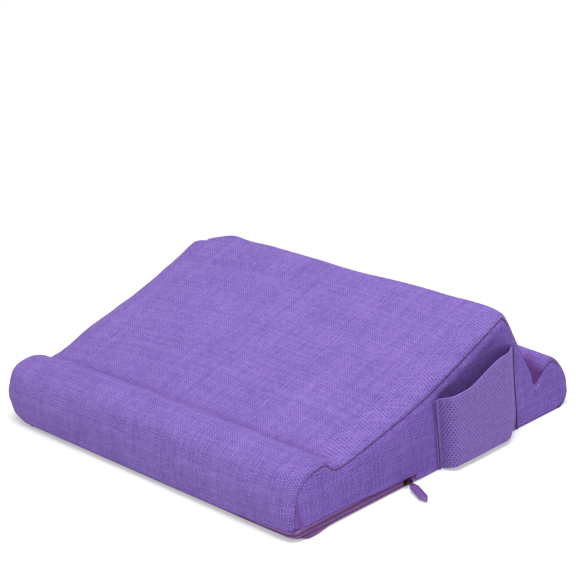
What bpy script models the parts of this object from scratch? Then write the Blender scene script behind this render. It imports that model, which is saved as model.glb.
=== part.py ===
"""Foam lap stand: a wedge of foam in a sewn fabric cover.

The cover has a front roll that stops things from sliding down, a long slope, a groove
behind the wedge with a low rear bar, a mesh pocket on the right side and a zip that runs
round the lower front edge.

Frame: +X is the user's right, +Y points to the rear, +Z is up. The origin is the middle
of the base, on the surface that the stand rests on. Lengths are in metres.
"""
import math

import bmesh
import bpy
import numpy as np
from mathutils import Vector

# Overall size of the cover, without the pocket and the pull
WIDTH = 0.395
DEPTH = 0.339

# Cover fabric and the clearance between neighbouring pieces
FABRIC = 0.0015
GAP = 0.0003

# Section through the middle of the cover, front to rear
LOWER_EDGE_RADIUS = 0.0115
ROLL_RADIUS = 0.030
ROLL_HEIGHT = 0.060
VALLEY_SETBACK = 0.0495
VALLEY_HEIGHT = 0.0500
SLOPE_SETBACK = 0.0620
SLOPE_START_HEIGHT = 0.0532
PEAK_SETBACK = 0.0780
PEAK_HEIGHT = 0.1145
SLOPE_TOP_DROP = 0.0020
SLOPE_TOP_RUN = 0.0090
BACK_TOP_RUN = 0.0015
BACK_BULGE = 0.0010
NOTCH_SETBACK = 0.0425
NOTCH_HEIGHT = 0.0355
REAR_BAR_SETBACK = 0.0210
REAR_BAR_HEIGHT = 0.0498
REAR_BAR_SHOULDER = 0.0100
REAR_EDGE_RADIUS = 0.0130

# How far the side seam lies inside the middle section
SEAM_NOSE_INSET = 0.0055
SEAM_ROLL_DROP = 0.0085
SEAM_VALLEY_DROP = 0.0060
SEAM_SLOPE_DROP = 0.0155
SEAM_PEAK_DROP = 0.0080
SEAM_BACK_INSET = 0.0055
SEAM_NOTCH_INSET = 0.0025
SEAM_NOTCH_DROP = 0.0020
SEAM_BAR_DROP = 0.0035
SEAM_BAR_INSET = 0.0020

# Left end of the cover, which settles lower and rounder than the right end
LEFT_PEAK_SAG = 0.0085
LEFT_PEAK_REACH = 0.0500
LEFT_PEAK_LEAD = 0.0235
LEFT_PEAK_RAMP = 0.0220
LEFT_ROLL_SAG = 0.0040
LEFT_ROLL_REACH = 0.0600
LEFT_ROLL_RAMP = 0.0350
LEFT_NOSE_INSET = 0.0065
LEFT_NOSE_REACH = 0.0300
LEFT_NOSE_HEIGHT = 0.0340
LEFT_NOSE_LENGTH = 0.0400

# Soft shoulder between the seam and the crown
SHOULDER_WIDTH_MAX = 0.0250
SHOULDER_WIDTH_MIN = 0.0040
SHOULDER_PER_DROP = 2.40
SHOULDER_STEPS = 5

# Zip round the lower front edge
ZIP_LEFT_INSET = 0.0325
ZIP_TO_POCKET = 0.0280
ZIP_END_SLANT = 0.0030
ZIP_SIDE_HEIGHT = 0.0046
ZIP_CORNER_ARC = 0.0106
ZIP_FRONT_ARC = 0.0058
ZIP_DIP_LENGTH = 0.0825
ZIP_TAPE_WIDTH = 0.0030
ZIP_TAPE_THICKNESS = 0.0009
ZIP_TAPE_RECESS = 0.0004
ZIP_TEETH_WIDTH = 0.0024
ZIP_TEETH_NECK = 0.0014
ZIP_TEETH_HEIGHT = 0.0010
ZIP_TEETH_DEPTH = 0.0007
ZIP_TEETH_PITCH = 0.0040
ZIP_TEETH_GAP = 0.0010
ZIP_TOOTH_TAPER = 0.80
ZIP_STOP_LENGTH = 0.0030

# Slider, with the bridge that holds the ring
SLIDER_TO_ZIP_END = 0.0130
SLIDER_LENGTH = 0.0090
SLIDER_PLATE = 0.0009
SLIDER_FLANGE = 0.0010
SLIDER_CLEARANCE = 0.0004
SLIDER_NOSE_WIDTH = 0.0036
SLIDER_NOSE_LENGTH = 0.0024
SLIDER_FLANGE_LENGTH = 0.0065
BRIDGE_LENGTH = 0.0058
BRIDGE_OPENING = 0.0022
BRIDGE_THICKNESS = 0.0010
BRIDGE_WIDTH = 0.0014

# Ring and pull tab
RING_WIRE = 0.0010
RING_LENGTH = 0.0072
RING_HEIGHT = 0.0044
RING_CORNER = 0.0009
TAB_LENGTH = 0.0280
TAB_WIDTH = 0.0080
TAB_ROOT_WIDTH = 0.0032
TAB_TIP_WIDTH = 0.0010
TAB_POINT = 0.0070
TAB_THICKNESS = 0.0016
TAB_RIDGE = 0.0006
TAB_RIDGE_WIDTH = 0.0015
TAB_RIDGE_END_SHARE = 0.40
TAB_EYE_RADIUS = 0.0014
TAB_EYE_SETBACK = 0.0024
TAB_DROOP = math.radians(7.0)
PULL_SWING = math.radians(-21.0)

# Mesh pocket on the right side
POCKET_REAR_SETBACK = 0.0730
POCKET_LENGTH = 0.0955
POCKET_BULGE = 0.0140
POCKET_FRONT_ROUND = 0.0070
POCKET_REAR_ROUND = 0.0300
POCKET_BASE = 0.0010
POCKET_BASE_ROUND = 0.0045
POCKET_TOP_FRONT = 0.0675
POCKET_TOP_REAR = 0.0825
POCKET_LEVEL_TOP = 0.0200
POCKET_LEVEL_REAR = 0.0240
POCKET_GUSSET_DROP = 0.0040
POCKET_MESH = 0.0012
POCKET_SEAM = 0.0035
POCKET_HEM_WIDTH = 0.0040
POCKET_TRIM = 0.0010

# Folded fabric over the rear end of the zip
END_FOLD_LENGTH = 0.0120
END_FOLD_TOP_LENGTH = 0.0096
END_FOLD_HEIGHT = 0.0085
END_FOLD_THICKNESS = 0.0012

# Density of the meshes
MIDDLE_COLUMN_SHARES = (-0.75, -0.25, 0.25)
SPAN_STEPS = 2
ARC_STEPS = 4
TAPE_ROWS = 3
ZIP_SIDE_COLUMNS = 4
ZIP_LINE_STEPS = 12
WIRE_SIDES = 8
RING_CORNER_STEPS = 3
EYE_SIDES = 20
POCKET_WALL_STEPS = 5
POCKET_BASE_STEPS = 4
POCKET_RISE_STEPS = 5
POCKET_FLAT_STEPS = 4

FRONT = -DEPTH / 2
REAR = DEPTH / 2
SIDE = WIDTH / 2
SLOPE_START_Y = FRONT + SLOPE_SETBACK
PEAK_Y = REAR - PEAK_SETBACK
NOTCH_Y = REAR - NOTCH_SETBACK
REAR_BAR_Y = REAR - REAR_BAR_SETBACK
POCKET_REAR = REAR - POCKET_REAR_SETBACK
POCKET_FRONT = POCKET_REAR - POCKET_LENGTH
ZIP_LEFT_END = ZIP_LEFT_INSET - SIDE
ZIP_DIP_START = SIDE - ZIP_DIP_LENGTH
ZIP_REAR_END = POCKET_FRONT - ZIP_TO_POCKET
SLIDER_REST_Y = ZIP_REAR_END - SLIDER_TO_ZIP_END


# Scene and mesh helpers


def clear_scene():
    for item in list(bpy.data.objects):
        bpy.data.objects.remove(item, do_unlink=True)


def make_material(name, colour, roughness, metallic=0.0):
    material = bpy.data.materials.new(name)
    material.use_nodes = True
    shader = material.node_tree.nodes["Principled BSDF"]
    shader.inputs["Base Color"].default_value = (*colour, 1.0)
    shader.inputs["Roughness"].default_value = roughness
    shader.inputs["Metallic"].default_value = metallic
    return material


def add_mesh_object(name, vertices, faces, material, smooth_angle=math.radians(35)):
    """One named object from points and faces, with its faces turned outwards."""
    mesh = bpy.data.meshes.new(name)
    mesh.from_pydata([tuple(point) for point in vertices], [], faces)
    work = bmesh.new()
    work.from_mesh(mesh)
    bmesh.ops.remove_doubles(work, verts=work.verts, dist=1e-6)
    bmesh.ops.recalc_face_normals(work, faces=work.faces)
    work.to_mesh(mesh)
    work.free()
    mesh.shade_smooth()
    mesh.set_sharp_from_angle(angle=smooth_angle)
    mesh.materials.append(material)
    item = bpy.data.objects.new(name, mesh)
    bpy.context.collection.objects.link(item)
    return item


def grid_faces(rows, columns, start=0, flip=False):
    """Triangles over a grid of points numbered row by row, with every cell cut the same way."""
    faces = []
    for row in range(rows - 1):
        for column in range(columns - 1):
            low = start + row * columns + column
            high = low + columns
            for face in ((low, low + 1, high + 1), (low, high + 1, high)):
                faces.append(face[::-1] if flip else face)
    return faces


def closed_slab(outer, inner):
    """Points and faces of the solid between two matching grids of points."""
    rows, columns = outer.shape[:2]
    count = rows * columns
    faces = grid_faces(rows, columns) + grid_faces(rows, columns, start=count, flip=True)
    loop = [(0, column) for column in range(columns)]
    loop += [(row, columns - 1) for row in range(1, rows)]
    loop += [(rows - 1, column) for column in range(columns - 2, -1, -1)]
    loop += [(row, 0) for row in range(rows - 2, 0, -1)]
    rim = [row * columns + column for row, column in loop]
    for first, second in zip(rim, rim[1:] + rim[:1]):
        faces.append((second, first, first + count, second + count))
    points = np.concatenate([outer.reshape(-1, 3), inner.reshape(-1, 3)])
    return points, faces


def swept_section(sections):
    """Points and faces of a solid swept through closed sections of equal size."""
    size = len(sections[0])
    points = [point for section in sections for point in section]
    faces = []
    for index in range(len(sections) - 1):
        low = index * size
        high = low + size
        for corner in range(size):
            following = (corner + 1) % size
            faces.append((low + corner, low + following, high + following, high + corner))
    faces.append(tuple(range(size))[::-1])
    faces.append(tuple(range(len(points) - size, len(points))))
    return points, faces


def plate_between(name, first_outline, second_outline, material):
    """Plate between two matching outlines of points."""
    points, faces = swept_section([first_outline, second_outline])
    return add_mesh_object(name, points, faces, material)


# Sections of the cover


def smooth_curve(keys, steps):
    """Catmull-Rom curve through the key points, with a few points on each span."""
    keys = [np.array(key, dtype=float) for key in keys]
    padded = [2 * keys[0] - keys[1]] + keys + [2 * keys[-1] - keys[-2]]
    curve = []
    for before, start, end, after in zip(padded, padded[1:], padded[2:], padded[3:]):
        for step in range(steps):
            t = step / steps
            curve.append(0.5 * (2 * start + (end - before) * t
                                + (2 * before - 5 * start + 4 * end - after) * t ** 2
                                + (3 * start - before - 3 * end + after) * t ** 3))
    curve.append(keys[-1])
    return curve


def roll_point(angle):
    angle = math.radians(angle)
    return (FRONT + ROLL_RADIUS + ROLL_RADIUS * math.cos(angle),
            ROLL_HEIGHT - ROLL_RADIUS + ROLL_RADIUS * math.sin(angle))


def slope_height(share):
    slope_end = PEAK_HEIGHT - SLOPE_TOP_DROP
    return SLOPE_START_HEIGHT + share * (slope_end - SLOPE_START_HEIGHT)


def slope_y(share):
    return SLOPE_START_Y + share * (PEAK_Y - SLOPE_TOP_RUN - SLOPE_START_Y)


def back_point(share, bulge):
    """Point on the rear face of the wedge, from its peak down to the notch."""
    y = PEAK_Y + BACK_TOP_RUN + share * (NOTCH_Y - PEAK_Y - BACK_TOP_RUN)
    z = PEAK_HEIGHT + share * (NOTCH_HEIGHT - PEAK_HEIGHT)
    return y + bulge * math.sin(math.pi * share), z


def section_keys():
    """Key points of the middle section and of the side seam, in matching pairs.

    Each pair is a point of the crown and how far the seam lies from it in y and in z.
    """
    bar_top = (REAR_BAR_Y, REAR_BAR_HEIGHT)
    bar_front = (REAR_BAR_Y - REAR_BAR_SHOULDER, REAR_BAR_HEIGHT - 0.4 * REAR_BAR_SHOULDER)
    bar_rear = (REAR_BAR_Y + REAR_BAR_SHOULDER, REAR_BAR_HEIGHT - 0.45 * REAR_BAR_SHOULDER)
    bar_side = (REAR - 0.15 * REAR_EDGE_RADIUS, REAR_BAR_HEIGHT - 1.7 * REAR_EDGE_RADIUS)
    pairs = [
        ((FRONT, LOWER_EDGE_RADIUS), (SEAM_NOSE_INSET, 0.0)),
        (roll_point(180), (SEAM_NOSE_INSET * 1.6, -0.0010)),
        (roll_point(135), (SEAM_ROLL_DROP, -SEAM_ROLL_DROP)),
        (roll_point(90), (0.0020, -SEAM_ROLL_DROP)),
        (roll_point(60), (-0.0010, -0.5 * SEAM_ROLL_DROP)),
        ((FRONT + VALLEY_SETBACK, VALLEY_HEIGHT), (0.0020, -0.7 * SEAM_VALLEY_DROP)),
        ((SLOPE_START_Y, SLOPE_START_HEIGHT), (0.0010, -1.4 * SEAM_VALLEY_DROP)),
        ((slope_y(0.25), slope_height(0.25)), (0.0, -0.85 * SEAM_SLOPE_DROP)),
        ((slope_y(0.50), slope_height(0.50)), (0.0, -SEAM_SLOPE_DROP)),
        ((slope_y(0.75), slope_height(0.75)), (0.0, -0.8 * SEAM_SLOPE_DROP)),
        ((slope_y(1.0), slope_height(1.0)), (-0.0020, -SEAM_PEAK_DROP)),
        ((PEAK_Y, PEAK_HEIGHT), (-0.0030, -SEAM_PEAK_DROP)),
        (back_point(0.12, BACK_BULGE), (-0.5 * SEAM_BACK_INSET, -0.9 * SEAM_PEAK_DROP)),
        (back_point(0.35, BACK_BULGE), (-SEAM_BACK_INSET, -0.3 * SEAM_PEAK_DROP)),
        (back_point(0.65, BACK_BULGE), (-SEAM_BACK_INSET, 0.0)),
        (back_point(0.90, BACK_BULGE), (-0.6 * SEAM_BACK_INSET, 0.0)),
        ((NOTCH_Y, NOTCH_HEIGHT), (-SEAM_NOTCH_INSET, -SEAM_NOTCH_DROP)),
        (bar_front, (0.0, -SEAM_BAR_DROP)),
        (bar_top, (-0.5 * SEAM_BAR_INSET, -SEAM_BAR_DROP)),
        (bar_rear, (-SEAM_BAR_INSET, -SEAM_BAR_DROP)),
        (bar_side, (-SEAM_BAR_INSET, 0.0)),
        ((REAR, REAR_EDGE_RADIUS), (-SEAM_BAR_INSET, 0.0)),
    ]
    crown = [key for key, shift in pairs]
    seam = [(key[0] + shift[0], key[1] + shift[1]) for key, shift in pairs]
    return crown, seam


# Surface of the cover as a grid of points


def smooth_step(value):
    value = np.clip(value, 0.0, 1.0)
    return value * value * (3 - 2 * value)


def settled(points):
    """Points of the cover with its left end settled: peak and roll lower, nose rounder."""
    points = np.array(points, dtype=float)
    x, y, z = np.moveaxis(points, -1, 0)
    peak = smooth_step((LEFT_PEAK_REACH - SIDE - x) / LEFT_PEAK_REACH)
    peak *= smooth_step((y - PEAK_Y + LEFT_PEAK_LEAD) / LEFT_PEAK_RAMP)
    peak *= np.clip((z - NOTCH_HEIGHT) / (PEAK_HEIGHT - NOTCH_HEIGHT), 0.0, 1.0)
    roll = smooth_step((LEFT_ROLL_REACH - SIDE - x) / LEFT_ROLL_REACH)
    roll *= smooth_step((y - FRONT - LOWER_EDGE_RADIUS) / LEFT_ROLL_RAMP)
    roll *= 1 - smooth_step((y - SLOPE_START_Y) / LEFT_ROLL_RAMP)
    roll *= smooth_step((z - ROLL_RADIUS) / (ROLL_HEIGHT - ROLL_RADIUS))
    nose = smooth_step((LEFT_NOSE_REACH - SIDE - x) / LEFT_NOSE_REACH)
    nose *= 1 - smooth_step(z / LEFT_NOSE_HEIGHT)
    nose *= 1 - smooth_step((y - FRONT) / LEFT_NOSE_LENGTH)
    sag = LEFT_PEAK_SAG * peak + LEFT_ROLL_SAG * roll
    return points + np.stack([0.0 * x, LEFT_NOSE_INSET * nose, -sag], axis=-1)


def zip_arc(x):
    """Length along the rounded lower front edge, from the base to the line of teeth."""
    share = smooth_step((x - ZIP_DIP_START) / ZIP_DIP_LENGTH)
    return ZIP_FRONT_ARC + share * (ZIP_CORNER_ARC - ZIP_FRONT_ARC)


def tape_inner_edge():
    """Distance from the line of teeth to the near edge of a tape."""
    return ZIP_TEETH_WIDTH / 2 + ZIP_TEETH_GAP


def tape_outer_edge():
    """Distance from the line of teeth to the far edge of the upper tape."""
    return tape_inner_edge() + ZIP_TAPE_WIDTH


def column_stations():
    """Stations across the width: the side and the angle on a shoulder, or a plain x."""
    angles = [math.pi / 2 * step / SHOULDER_STEPS for step in range(SHOULDER_STEPS + 1)]
    middle = [share * SIDE for share in MIDDLE_COLUMN_SHARES]
    middle += [ZIP_DIP_START, ZIP_DIP_START + ZIP_DIP_LENGTH / 2]
    left = [("left", angle) for angle in angles[::-1]]
    return left + [("middle", x) for x in middle] + [("right", angle) for angle in angles]


def shoulder_width(crown, seam):
    drop = math.hypot(crown[0] - seam[0], crown[1] - seam[1])
    return min(max(SHOULDER_PER_DROP * drop, SHOULDER_WIDTH_MIN), SHOULDER_WIDTH_MAX)


def shoulder_point(crown, seam, width, station, depth=0.0):
    """Point between a crown point and its seam point, at one station across the cover."""
    side, value = station
    if side == "middle":
        return (value, crown[0], crown[1])
    x = SIDE - depth - width + width * math.sin(value)
    y = seam[0] + (crown[0] - seam[0]) * math.cos(value)
    z = seam[1] + (crown[1] - seam[1]) * math.cos(value)
    return (x if side == "right" else -x, y, z)


def front_edge_shoulder():
    """Ends of the shoulder along the lower front edge, and its width."""
    crown, seam = (FRONT, 0.0), (FRONT + SEAM_NOSE_INSET, 0.0)
    return crown, seam, shoulder_width(crown, seam)


def front_edge_point(station, arc, depth=0.0):
    """Point of the rounded lower front edge, at an arc length from the base."""
    x, nose_y = shoulder_point(*front_edge_shoulder(), station, depth)[:2]
    turn = arc / LOWER_EDGE_RADIUS
    radius = LOWER_EDGE_RADIUS - depth
    return (x, nose_y + LOWER_EDGE_RADIUS - radius * math.sin(turn),
            LOWER_EDGE_RADIUS - radius * math.cos(turn))


def front_edge_normal(station, arc):
    """Unit normal of the rounded lower front edge, at an arc length from the base."""
    side, value = station
    angle = 0.0 if side == "middle" else value
    width = front_edge_shoulder()[2]
    turn = arc / LOWER_EDGE_RADIUS
    normal = np.array([SEAM_NOSE_INSET * math.sin(angle) * math.sin(turn),
                       -width * math.cos(angle) * math.sin(turn),
                       -width * math.cos(angle) * math.cos(turn)])
    return normal / np.linalg.norm(normal)


def rear_edge_point(section_point, angle, depth):
    radius = REAR_EDGE_RADIUS - depth
    return (section_point[0] - radius + radius * math.cos(angle),
            REAR_EDGE_RADIUS - radius * math.sin(angle))


def inset_section(points, depth):
    """Open section curve moved inwards, with both of its ends kept upright."""
    points = np.array(points)
    along = np.gradient(points, axis=0)
    outward = np.stack([-along[:, 1], along[:, 0]], axis=1)
    outward /= np.linalg.norm(outward, axis=1, keepdims=True)
    outward[0] = (-1.0, 0.0)
    outward[-1] = (1.0, 0.0)
    return points - depth * outward


def cover_surface(first_arc, depth=0.0):
    """Grid of the cover from its lower front edge, over the top, to its lower rear edge.

    first_arc(x) is the arc length above the base at which the front of the grid begins,
    and depth is how far the grid lies below the outside of the cover.
    """
    crown_keys, seam_keys = section_keys()
    crown = smooth_curve(crown_keys, SPAN_STEPS)
    seam = smooth_curve(seam_keys, SPAN_STEPS)
    widths = [shoulder_width(*pair) for pair in zip(crown, seam)]
    crown = inset_section(crown, depth)
    seam = inset_section(seam, depth)
    stations = column_stations()
    rows = []
    quarter = LOWER_EDGE_RADIUS * math.pi / 2
    for step in range(ARC_STEPS):
        row = []
        for station in stations:
            first = first_arc(front_edge_point(station, 0.0)[0])
            arc = first + (quarter - first) * step / ARC_STEPS
            row.append(front_edge_point(station, arc, depth))
        rows.append(row)
    for pair in zip(crown, seam, widths):
        rows.append([shoulder_point(*pair, station, depth) for station in stations])
    for step in range(1, ARC_STEPS + 1):
        angle = math.pi / 2 * step / ARC_STEPS
        pair = (rear_edge_point(crown[-1], angle, depth), rear_edge_point(seam[-1], angle, depth))
        rows.append([shoulder_point(*pair, widths[-1], station, depth) for station in stations])
    return settled(rows)


def inset_outline(points, distance):
    """Closed anticlockwise outline moved inwards."""
    points = np.array(points)
    edges = np.roll(points, -1, axis=0) - points
    edges /= np.linalg.norm(edges, axis=1, keepdims=True)
    inward = np.stack([-edges[:, 1], edges[:, 0]], axis=1)
    middle = inward + np.roll(inward, 1, axis=0)
    scale = (middle * inward).sum(axis=1, keepdims=True)
    return points + distance * middle / scale


# Foam and cover panels


def build_foam_core(material):
    """One block of foam that fills the cover, cut flat at both sides."""
    surface = cover_surface(at_base, FABRIC + GAP)
    rows, columns = surface.shape[:2]
    faces = grid_faces(rows, columns)
    faces.append(tuple(row * columns for row in range(rows)))
    faces.append(tuple(row * columns + columns - 1 for row in range(rows))[::-1])
    last_row = tuple((rows - 1) * columns + column for column in range(columns))
    faces.append(tuple(range(columns))[::-1] + last_row)
    return add_mesh_object("foam_core", surface.reshape(-1, 3), faces, material)


def at_base(x):
    return 0.0


def above_zip(x):
    """Arc length from the base to the front edge of the top panel, just above the zip."""
    return zip_arc(x) + tape_outer_edge() + GAP


def lift_off_floor(points):
    """Only the base panel rests on the floor: the other fabric ends just above it."""
    points[..., 2] = np.maximum(points[..., 2], GAP)
    return points


def build_top_panel(material):
    """The long piece of fabric over the roll, the slope, the groove and the rear bar."""
    points, faces = closed_slab(cover_surface(above_zip), cover_surface(above_zip, FABRIC))
    return add_mesh_object("top_panel", lift_off_floor(points), faces, material)


def side_zip_positions():
    """Stations of the zip along the right side, from the front corner to its rear end."""
    start = FRONT + SEAM_NOSE_INSET + LOWER_EDGE_RADIUS
    return [start + (ZIP_REAR_END - start) * step / ZIP_SIDE_COLUMNS
            for step in range(ZIP_SIDE_COLUMNS + 1)]


def side_outline(column, with_zip, depth):
    """Outline of a side panel in (y, z), anticlockwise from its lower front corner."""
    grid = cover_surface(above_zip if with_zip else at_base, depth)
    seam = [(point[1], point[2]) for point in grid[:, column]]
    lower = []
    if with_zip:
        edge = ZIP_SIDE_HEIGHT + tape_outer_edge() + GAP
        lower = [(y, edge) for y in side_zip_positions()]
        lower.append((ZIP_REAR_END + ZIP_END_SLANT, 0.0))
    return inset_outline([seam[0]] + lower + seam[:0:-1], GAP)


def build_side_panel(name, sign, with_zip, material):
    """Side panel, mitred against the seam edge of the top panel."""
    faces = []
    column = -1 if sign > 0 else 0
    for depth in (FABRIC, 0.0):
        outline = side_outline(column, with_zip, depth)
        faces.append(lift_off_floor(np.array([(sign * (SIDE - depth), y, z) for y, z in outline])))
    return plate_between(name, faces[0], faces[1], material)


def build_base_panel(material):
    """Flat fabric under the foam, inside the lower edges of the other panels."""
    grid = cover_surface(at_base, FABRIC + GAP)
    front = [(point[0], point[1] + GAP) for point in grid[0]]
    rear = [(point[0], point[1] - GAP) for point in grid[-1]]
    outline = front + rear[::-1]
    layers = [[(x, y, height) for x, y in outline] for height in (0.0, FABRIC)]
    return plate_between("base_panel", layers[0], layers[1], material)


# Zip tapes, teeth and stops


def zip_band(lower_edge, upper_edge, depth):
    """Grid of a band along the zip, at a depth below the outside of the cover.

    Each edge is a distance above the line of teeth, or None for an edge at the base.
    """
    columns = []
    for station in column_stations():
        line = zip_arc(front_edge_point(station, 0.0)[0])
        first, last = [GAP if edge is None else line + edge for edge in (lower_edge, upper_edge)]
        arcs = np.linspace(first, last, TAPE_ROWS)
        columns.append([front_edge_point(station, arc, depth) for arc in arcs])
    for y in side_zip_positions():
        first, last = [GAP if edge is None else ZIP_SIDE_HEIGHT + edge for edge in (lower_edge, upper_edge)]
        heights = np.linspace(first, last, TAPE_ROWS)
        columns.append([(SIDE - depth, y, height) for height in heights])
    return settled(columns).transpose(1, 0, 2)


def build_zip_tape(name, lower_edge, upper_edge, material):
    outer = zip_band(lower_edge, upper_edge, ZIP_TAPE_RECESS)
    inner = zip_band(lower_edge, upper_edge, ZIP_TAPE_RECESS + ZIP_TAPE_THICKNESS)
    points, faces = closed_slab(outer, inner)
    return add_mesh_object(name, lift_off_floor(points), faces, material)


def zip_centre_line():
    """Points along the middle of the teeth and the outward directions there.

    The points lie closely spaced round the front corner.
    """
    stations = [("middle", ZIP_LEFT_END)]
    corner_start = SIDE - front_edge_shoulder()[2]
    for x in np.linspace(ZIP_DIP_START, corner_start, ZIP_LINE_STEPS, endpoint=False):
        stations.append(("middle", x))
    for angle in np.linspace(0.0, math.pi / 2, ZIP_LINE_STEPS + 1):
        stations.append(("right", angle))
    points = []
    outward = []
    for station in stations:
        arc = zip_arc(front_edge_point(station, 0.0)[0])
        points.append(front_edge_point(station, arc))
        outward.append(front_edge_normal(station, arc))
    for y in side_zip_positions():
        points.append((SIDE, y, ZIP_SIDE_HEIGHT))
        outward.append((1.0, 0.0, 0.0))
    return settled(points), np.array(outward)


def resampled(points, measure, positions):
    return np.stack([np.interp(positions, measure, points[:, axis]) for axis in range(3)], axis=1)


def tooth_section(point, outward, across, half_width, height):
    """Four corners of a tooth or a stop, narrower towards its outer face."""
    base = point - ZIP_TEETH_DEPTH * outward
    top = point + height * outward
    step = half_width * across
    return [base - step, base + step, top + ZIP_TOOTH_TAPER * step, top - ZIP_TOOTH_TAPER * step]


def build_zip_teeth(material):
    """The closed teeth as one toothed ridge between the two tapes."""
    line, directions = zip_centre_line()
    measure = np.concatenate([[0.0], np.cumsum(np.linalg.norm(np.diff(line, axis=0), axis=1))])
    tooth_count = int(measure[-1] / ZIP_TEETH_PITCH)
    margin = ZIP_STOP_LENGTH + GAP
    positions = np.linspace(margin, measure[-1] - margin, 2 * tooth_count)
    points = resampled(line, measure, positions)
    outward = resampled(directions, measure, positions)
    outward /= np.linalg.norm(outward, axis=1, keepdims=True)
    across = np.cross(outward, np.gradient(points, axis=0))
    across /= np.linalg.norm(across, axis=1, keepdims=True)
    sections = []
    for index, point in enumerate(points):
        is_tooth = index % 2 == 1
        half_width = (ZIP_TEETH_WIDTH if is_tooth else ZIP_TEETH_NECK) / 2
        height = ZIP_TEETH_HEIGHT if is_tooth else 0.0
        sections.append(tooth_section(point, outward[index], across[index], half_width, height))
    points, faces = swept_section(sections)
    return add_mesh_object("zip_teeth", points, faces, material)


def build_zip_stop(name, index, neighbour, material):
    """Small block that closes one end of the line of teeth."""
    line, directions = zip_centre_line()
    along = line[neighbour] - line[index]
    along /= np.linalg.norm(along)
    across = np.cross(along, directions[index])
    half_width = ZIP_TEETH_WIDTH / 2
    sections = []
    for distance in (0.0, ZIP_STOP_LENGTH):
        point = line[index] + distance * along
        sections.append(tooth_section(point, directions[index], across, half_width, ZIP_TEETH_HEIGHT))
    points, faces = swept_section(sections)
    item = add_mesh_object(name, points, faces, material)
    bevel = item.modifiers.new("rounding", "BEVEL")
    bevel.width = GAP
    return item


def build_end_fold(material):
    """Folded scrap of fabric sewn over the rear end of the zip."""
    middle = ZIP_REAR_END + ZIP_END_SLANT
    inner = SIDE + ZIP_TEETH_HEIGHT + GAP
    outline = [(middle - END_FOLD_LENGTH / 2, GAP), (middle + END_FOLD_LENGTH / 2, GAP),
               (middle + END_FOLD_TOP_LENGTH / 2, END_FOLD_HEIGHT),
               (middle - END_FOLD_TOP_LENGTH / 2, END_FOLD_HEIGHT)]
    layers = [[(x, y, z) for y, z in outline] for x in (inner, inner + END_FOLD_THICKNESS)]
    item = plate_between("zip_end_fold", layers[0], layers[1], material)
    bevel = item.modifiers.new("rounding", "BEVEL")
    bevel.width = END_FOLD_THICKNESS / 3
    bevel.segments = 2
    return item


# Slider, ring and pull tab


def join_into(target, others):
    """Union of overlapping solids, kept as the first object."""
    for other in others:
        union = target.modifiers.new("union", "BOOLEAN")
        union.operation = "UNION"
        union.solver = "EXACT"
        union.object = other
    bpy.context.view_layer.update()
    evaluated = target.evaluated_get(bpy.context.evaluated_depsgraph_get())
    mesh = bpy.data.meshes.new_from_object(evaluated)
    target.modifiers.clear()
    target.data = mesh
    for other in others:
        bpy.data.objects.remove(other, do_unlink=True)
    return target


def slider_outline():
    """Shield-shaped plate in (y, z), narrower towards the end that closes the teeth."""
    end = SLIDER_LENGTH / 2
    waist = SLIDER_NOSE_LENGTH - end
    half_width = ZIP_TEETH_WIDTH / 2 + SLIDER_CLEARANCE + SLIDER_FLANGE
    nose = SLIDER_NOSE_WIDTH / 2
    return [(-end, -nose), (waist, -half_width), (end, -half_width),
            (end, half_width), (waist, half_width), (-end, nose)]


def build_slider(material):
    """Slider over the teeth: a top plate, two flanges beside the teeth and a bridge."""
    plate_bottom = ZIP_TEETH_HEIGHT + SLIDER_CLEARANCE
    plate_top = plate_bottom + SLIDER_PLATE
    layers = [[(x, y, z) for y, z in slider_outline()] for x in (plate_bottom, plate_top)]
    slider = plate_between("zip_slider", layers[0], layers[1], material)
    parts = []
    inner_half = ZIP_TEETH_WIDTH / 2 + SLIDER_CLEARANCE
    end = SLIDER_LENGTH / 2
    start = end - SLIDER_FLANGE_LENGTH
    for sign in (-1, 1):
        near, far = sign * inner_half, sign * (inner_half + SLIDER_FLANGE)
        corners = [(start, near), (end, near), (end, far), (start, far)]
        layers = [[(x, y, z) for y, z in corners] for x in (0.0, plate_bottom + SLIDER_PLATE / 2)]
        parts.append(plate_between("flange", layers[0], layers[1], material))
    parts.append(build_bridge(plate_top, material))
    slider = join_into(slider, parts)
    slider.location = (SIDE, SLIDER_REST_Y, ZIP_SIDE_HEIGHT)
    return slider


def build_bridge(plate_top, material):
    """Bent strap on the plate: its opening runs across the teeth and holds the ring."""
    half = BRIDGE_LENGTH / 2
    foot = plate_top - SLIDER_PLATE / 2
    inside = plate_top + BRIDGE_OPENING
    bend = BRIDGE_THICKNESS / 2
    path = [(foot, -half), (inside - bend, -half), (inside + bend, 2 * bend - half),
            (inside + bend, half - 2 * bend), (inside - bend, half), (foot, half)]
    sections = []
    for index, (x, y) in enumerate(path):
        before = path[max(index - 1, 0)]
        after = path[min(index + 1, len(path) - 1)]
        direction = Vector((after[0] - before[0], after[1] - before[1])).normalized()
        step_x, step_y = -direction.y * bend, direction.x * bend
        width = BRIDGE_WIDTH / 2
        sections.append([(x - step_x, y - step_y, -width), (x + step_x, y + step_y, -width),
                         (x + step_x, y + step_y, width), (x - step_x, y - step_y, width)])
    points, faces = swept_section(sections)
    return add_mesh_object("bridge", points, faces, material)


def ring_axis_x():
    """Distance from the side of the cover to the pin side of the ring, inside the bridge."""
    return ZIP_TEETH_HEIGHT + SLIDER_CLEARANCE + SLIDER_PLATE + BRIDGE_OPENING / 2


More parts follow.
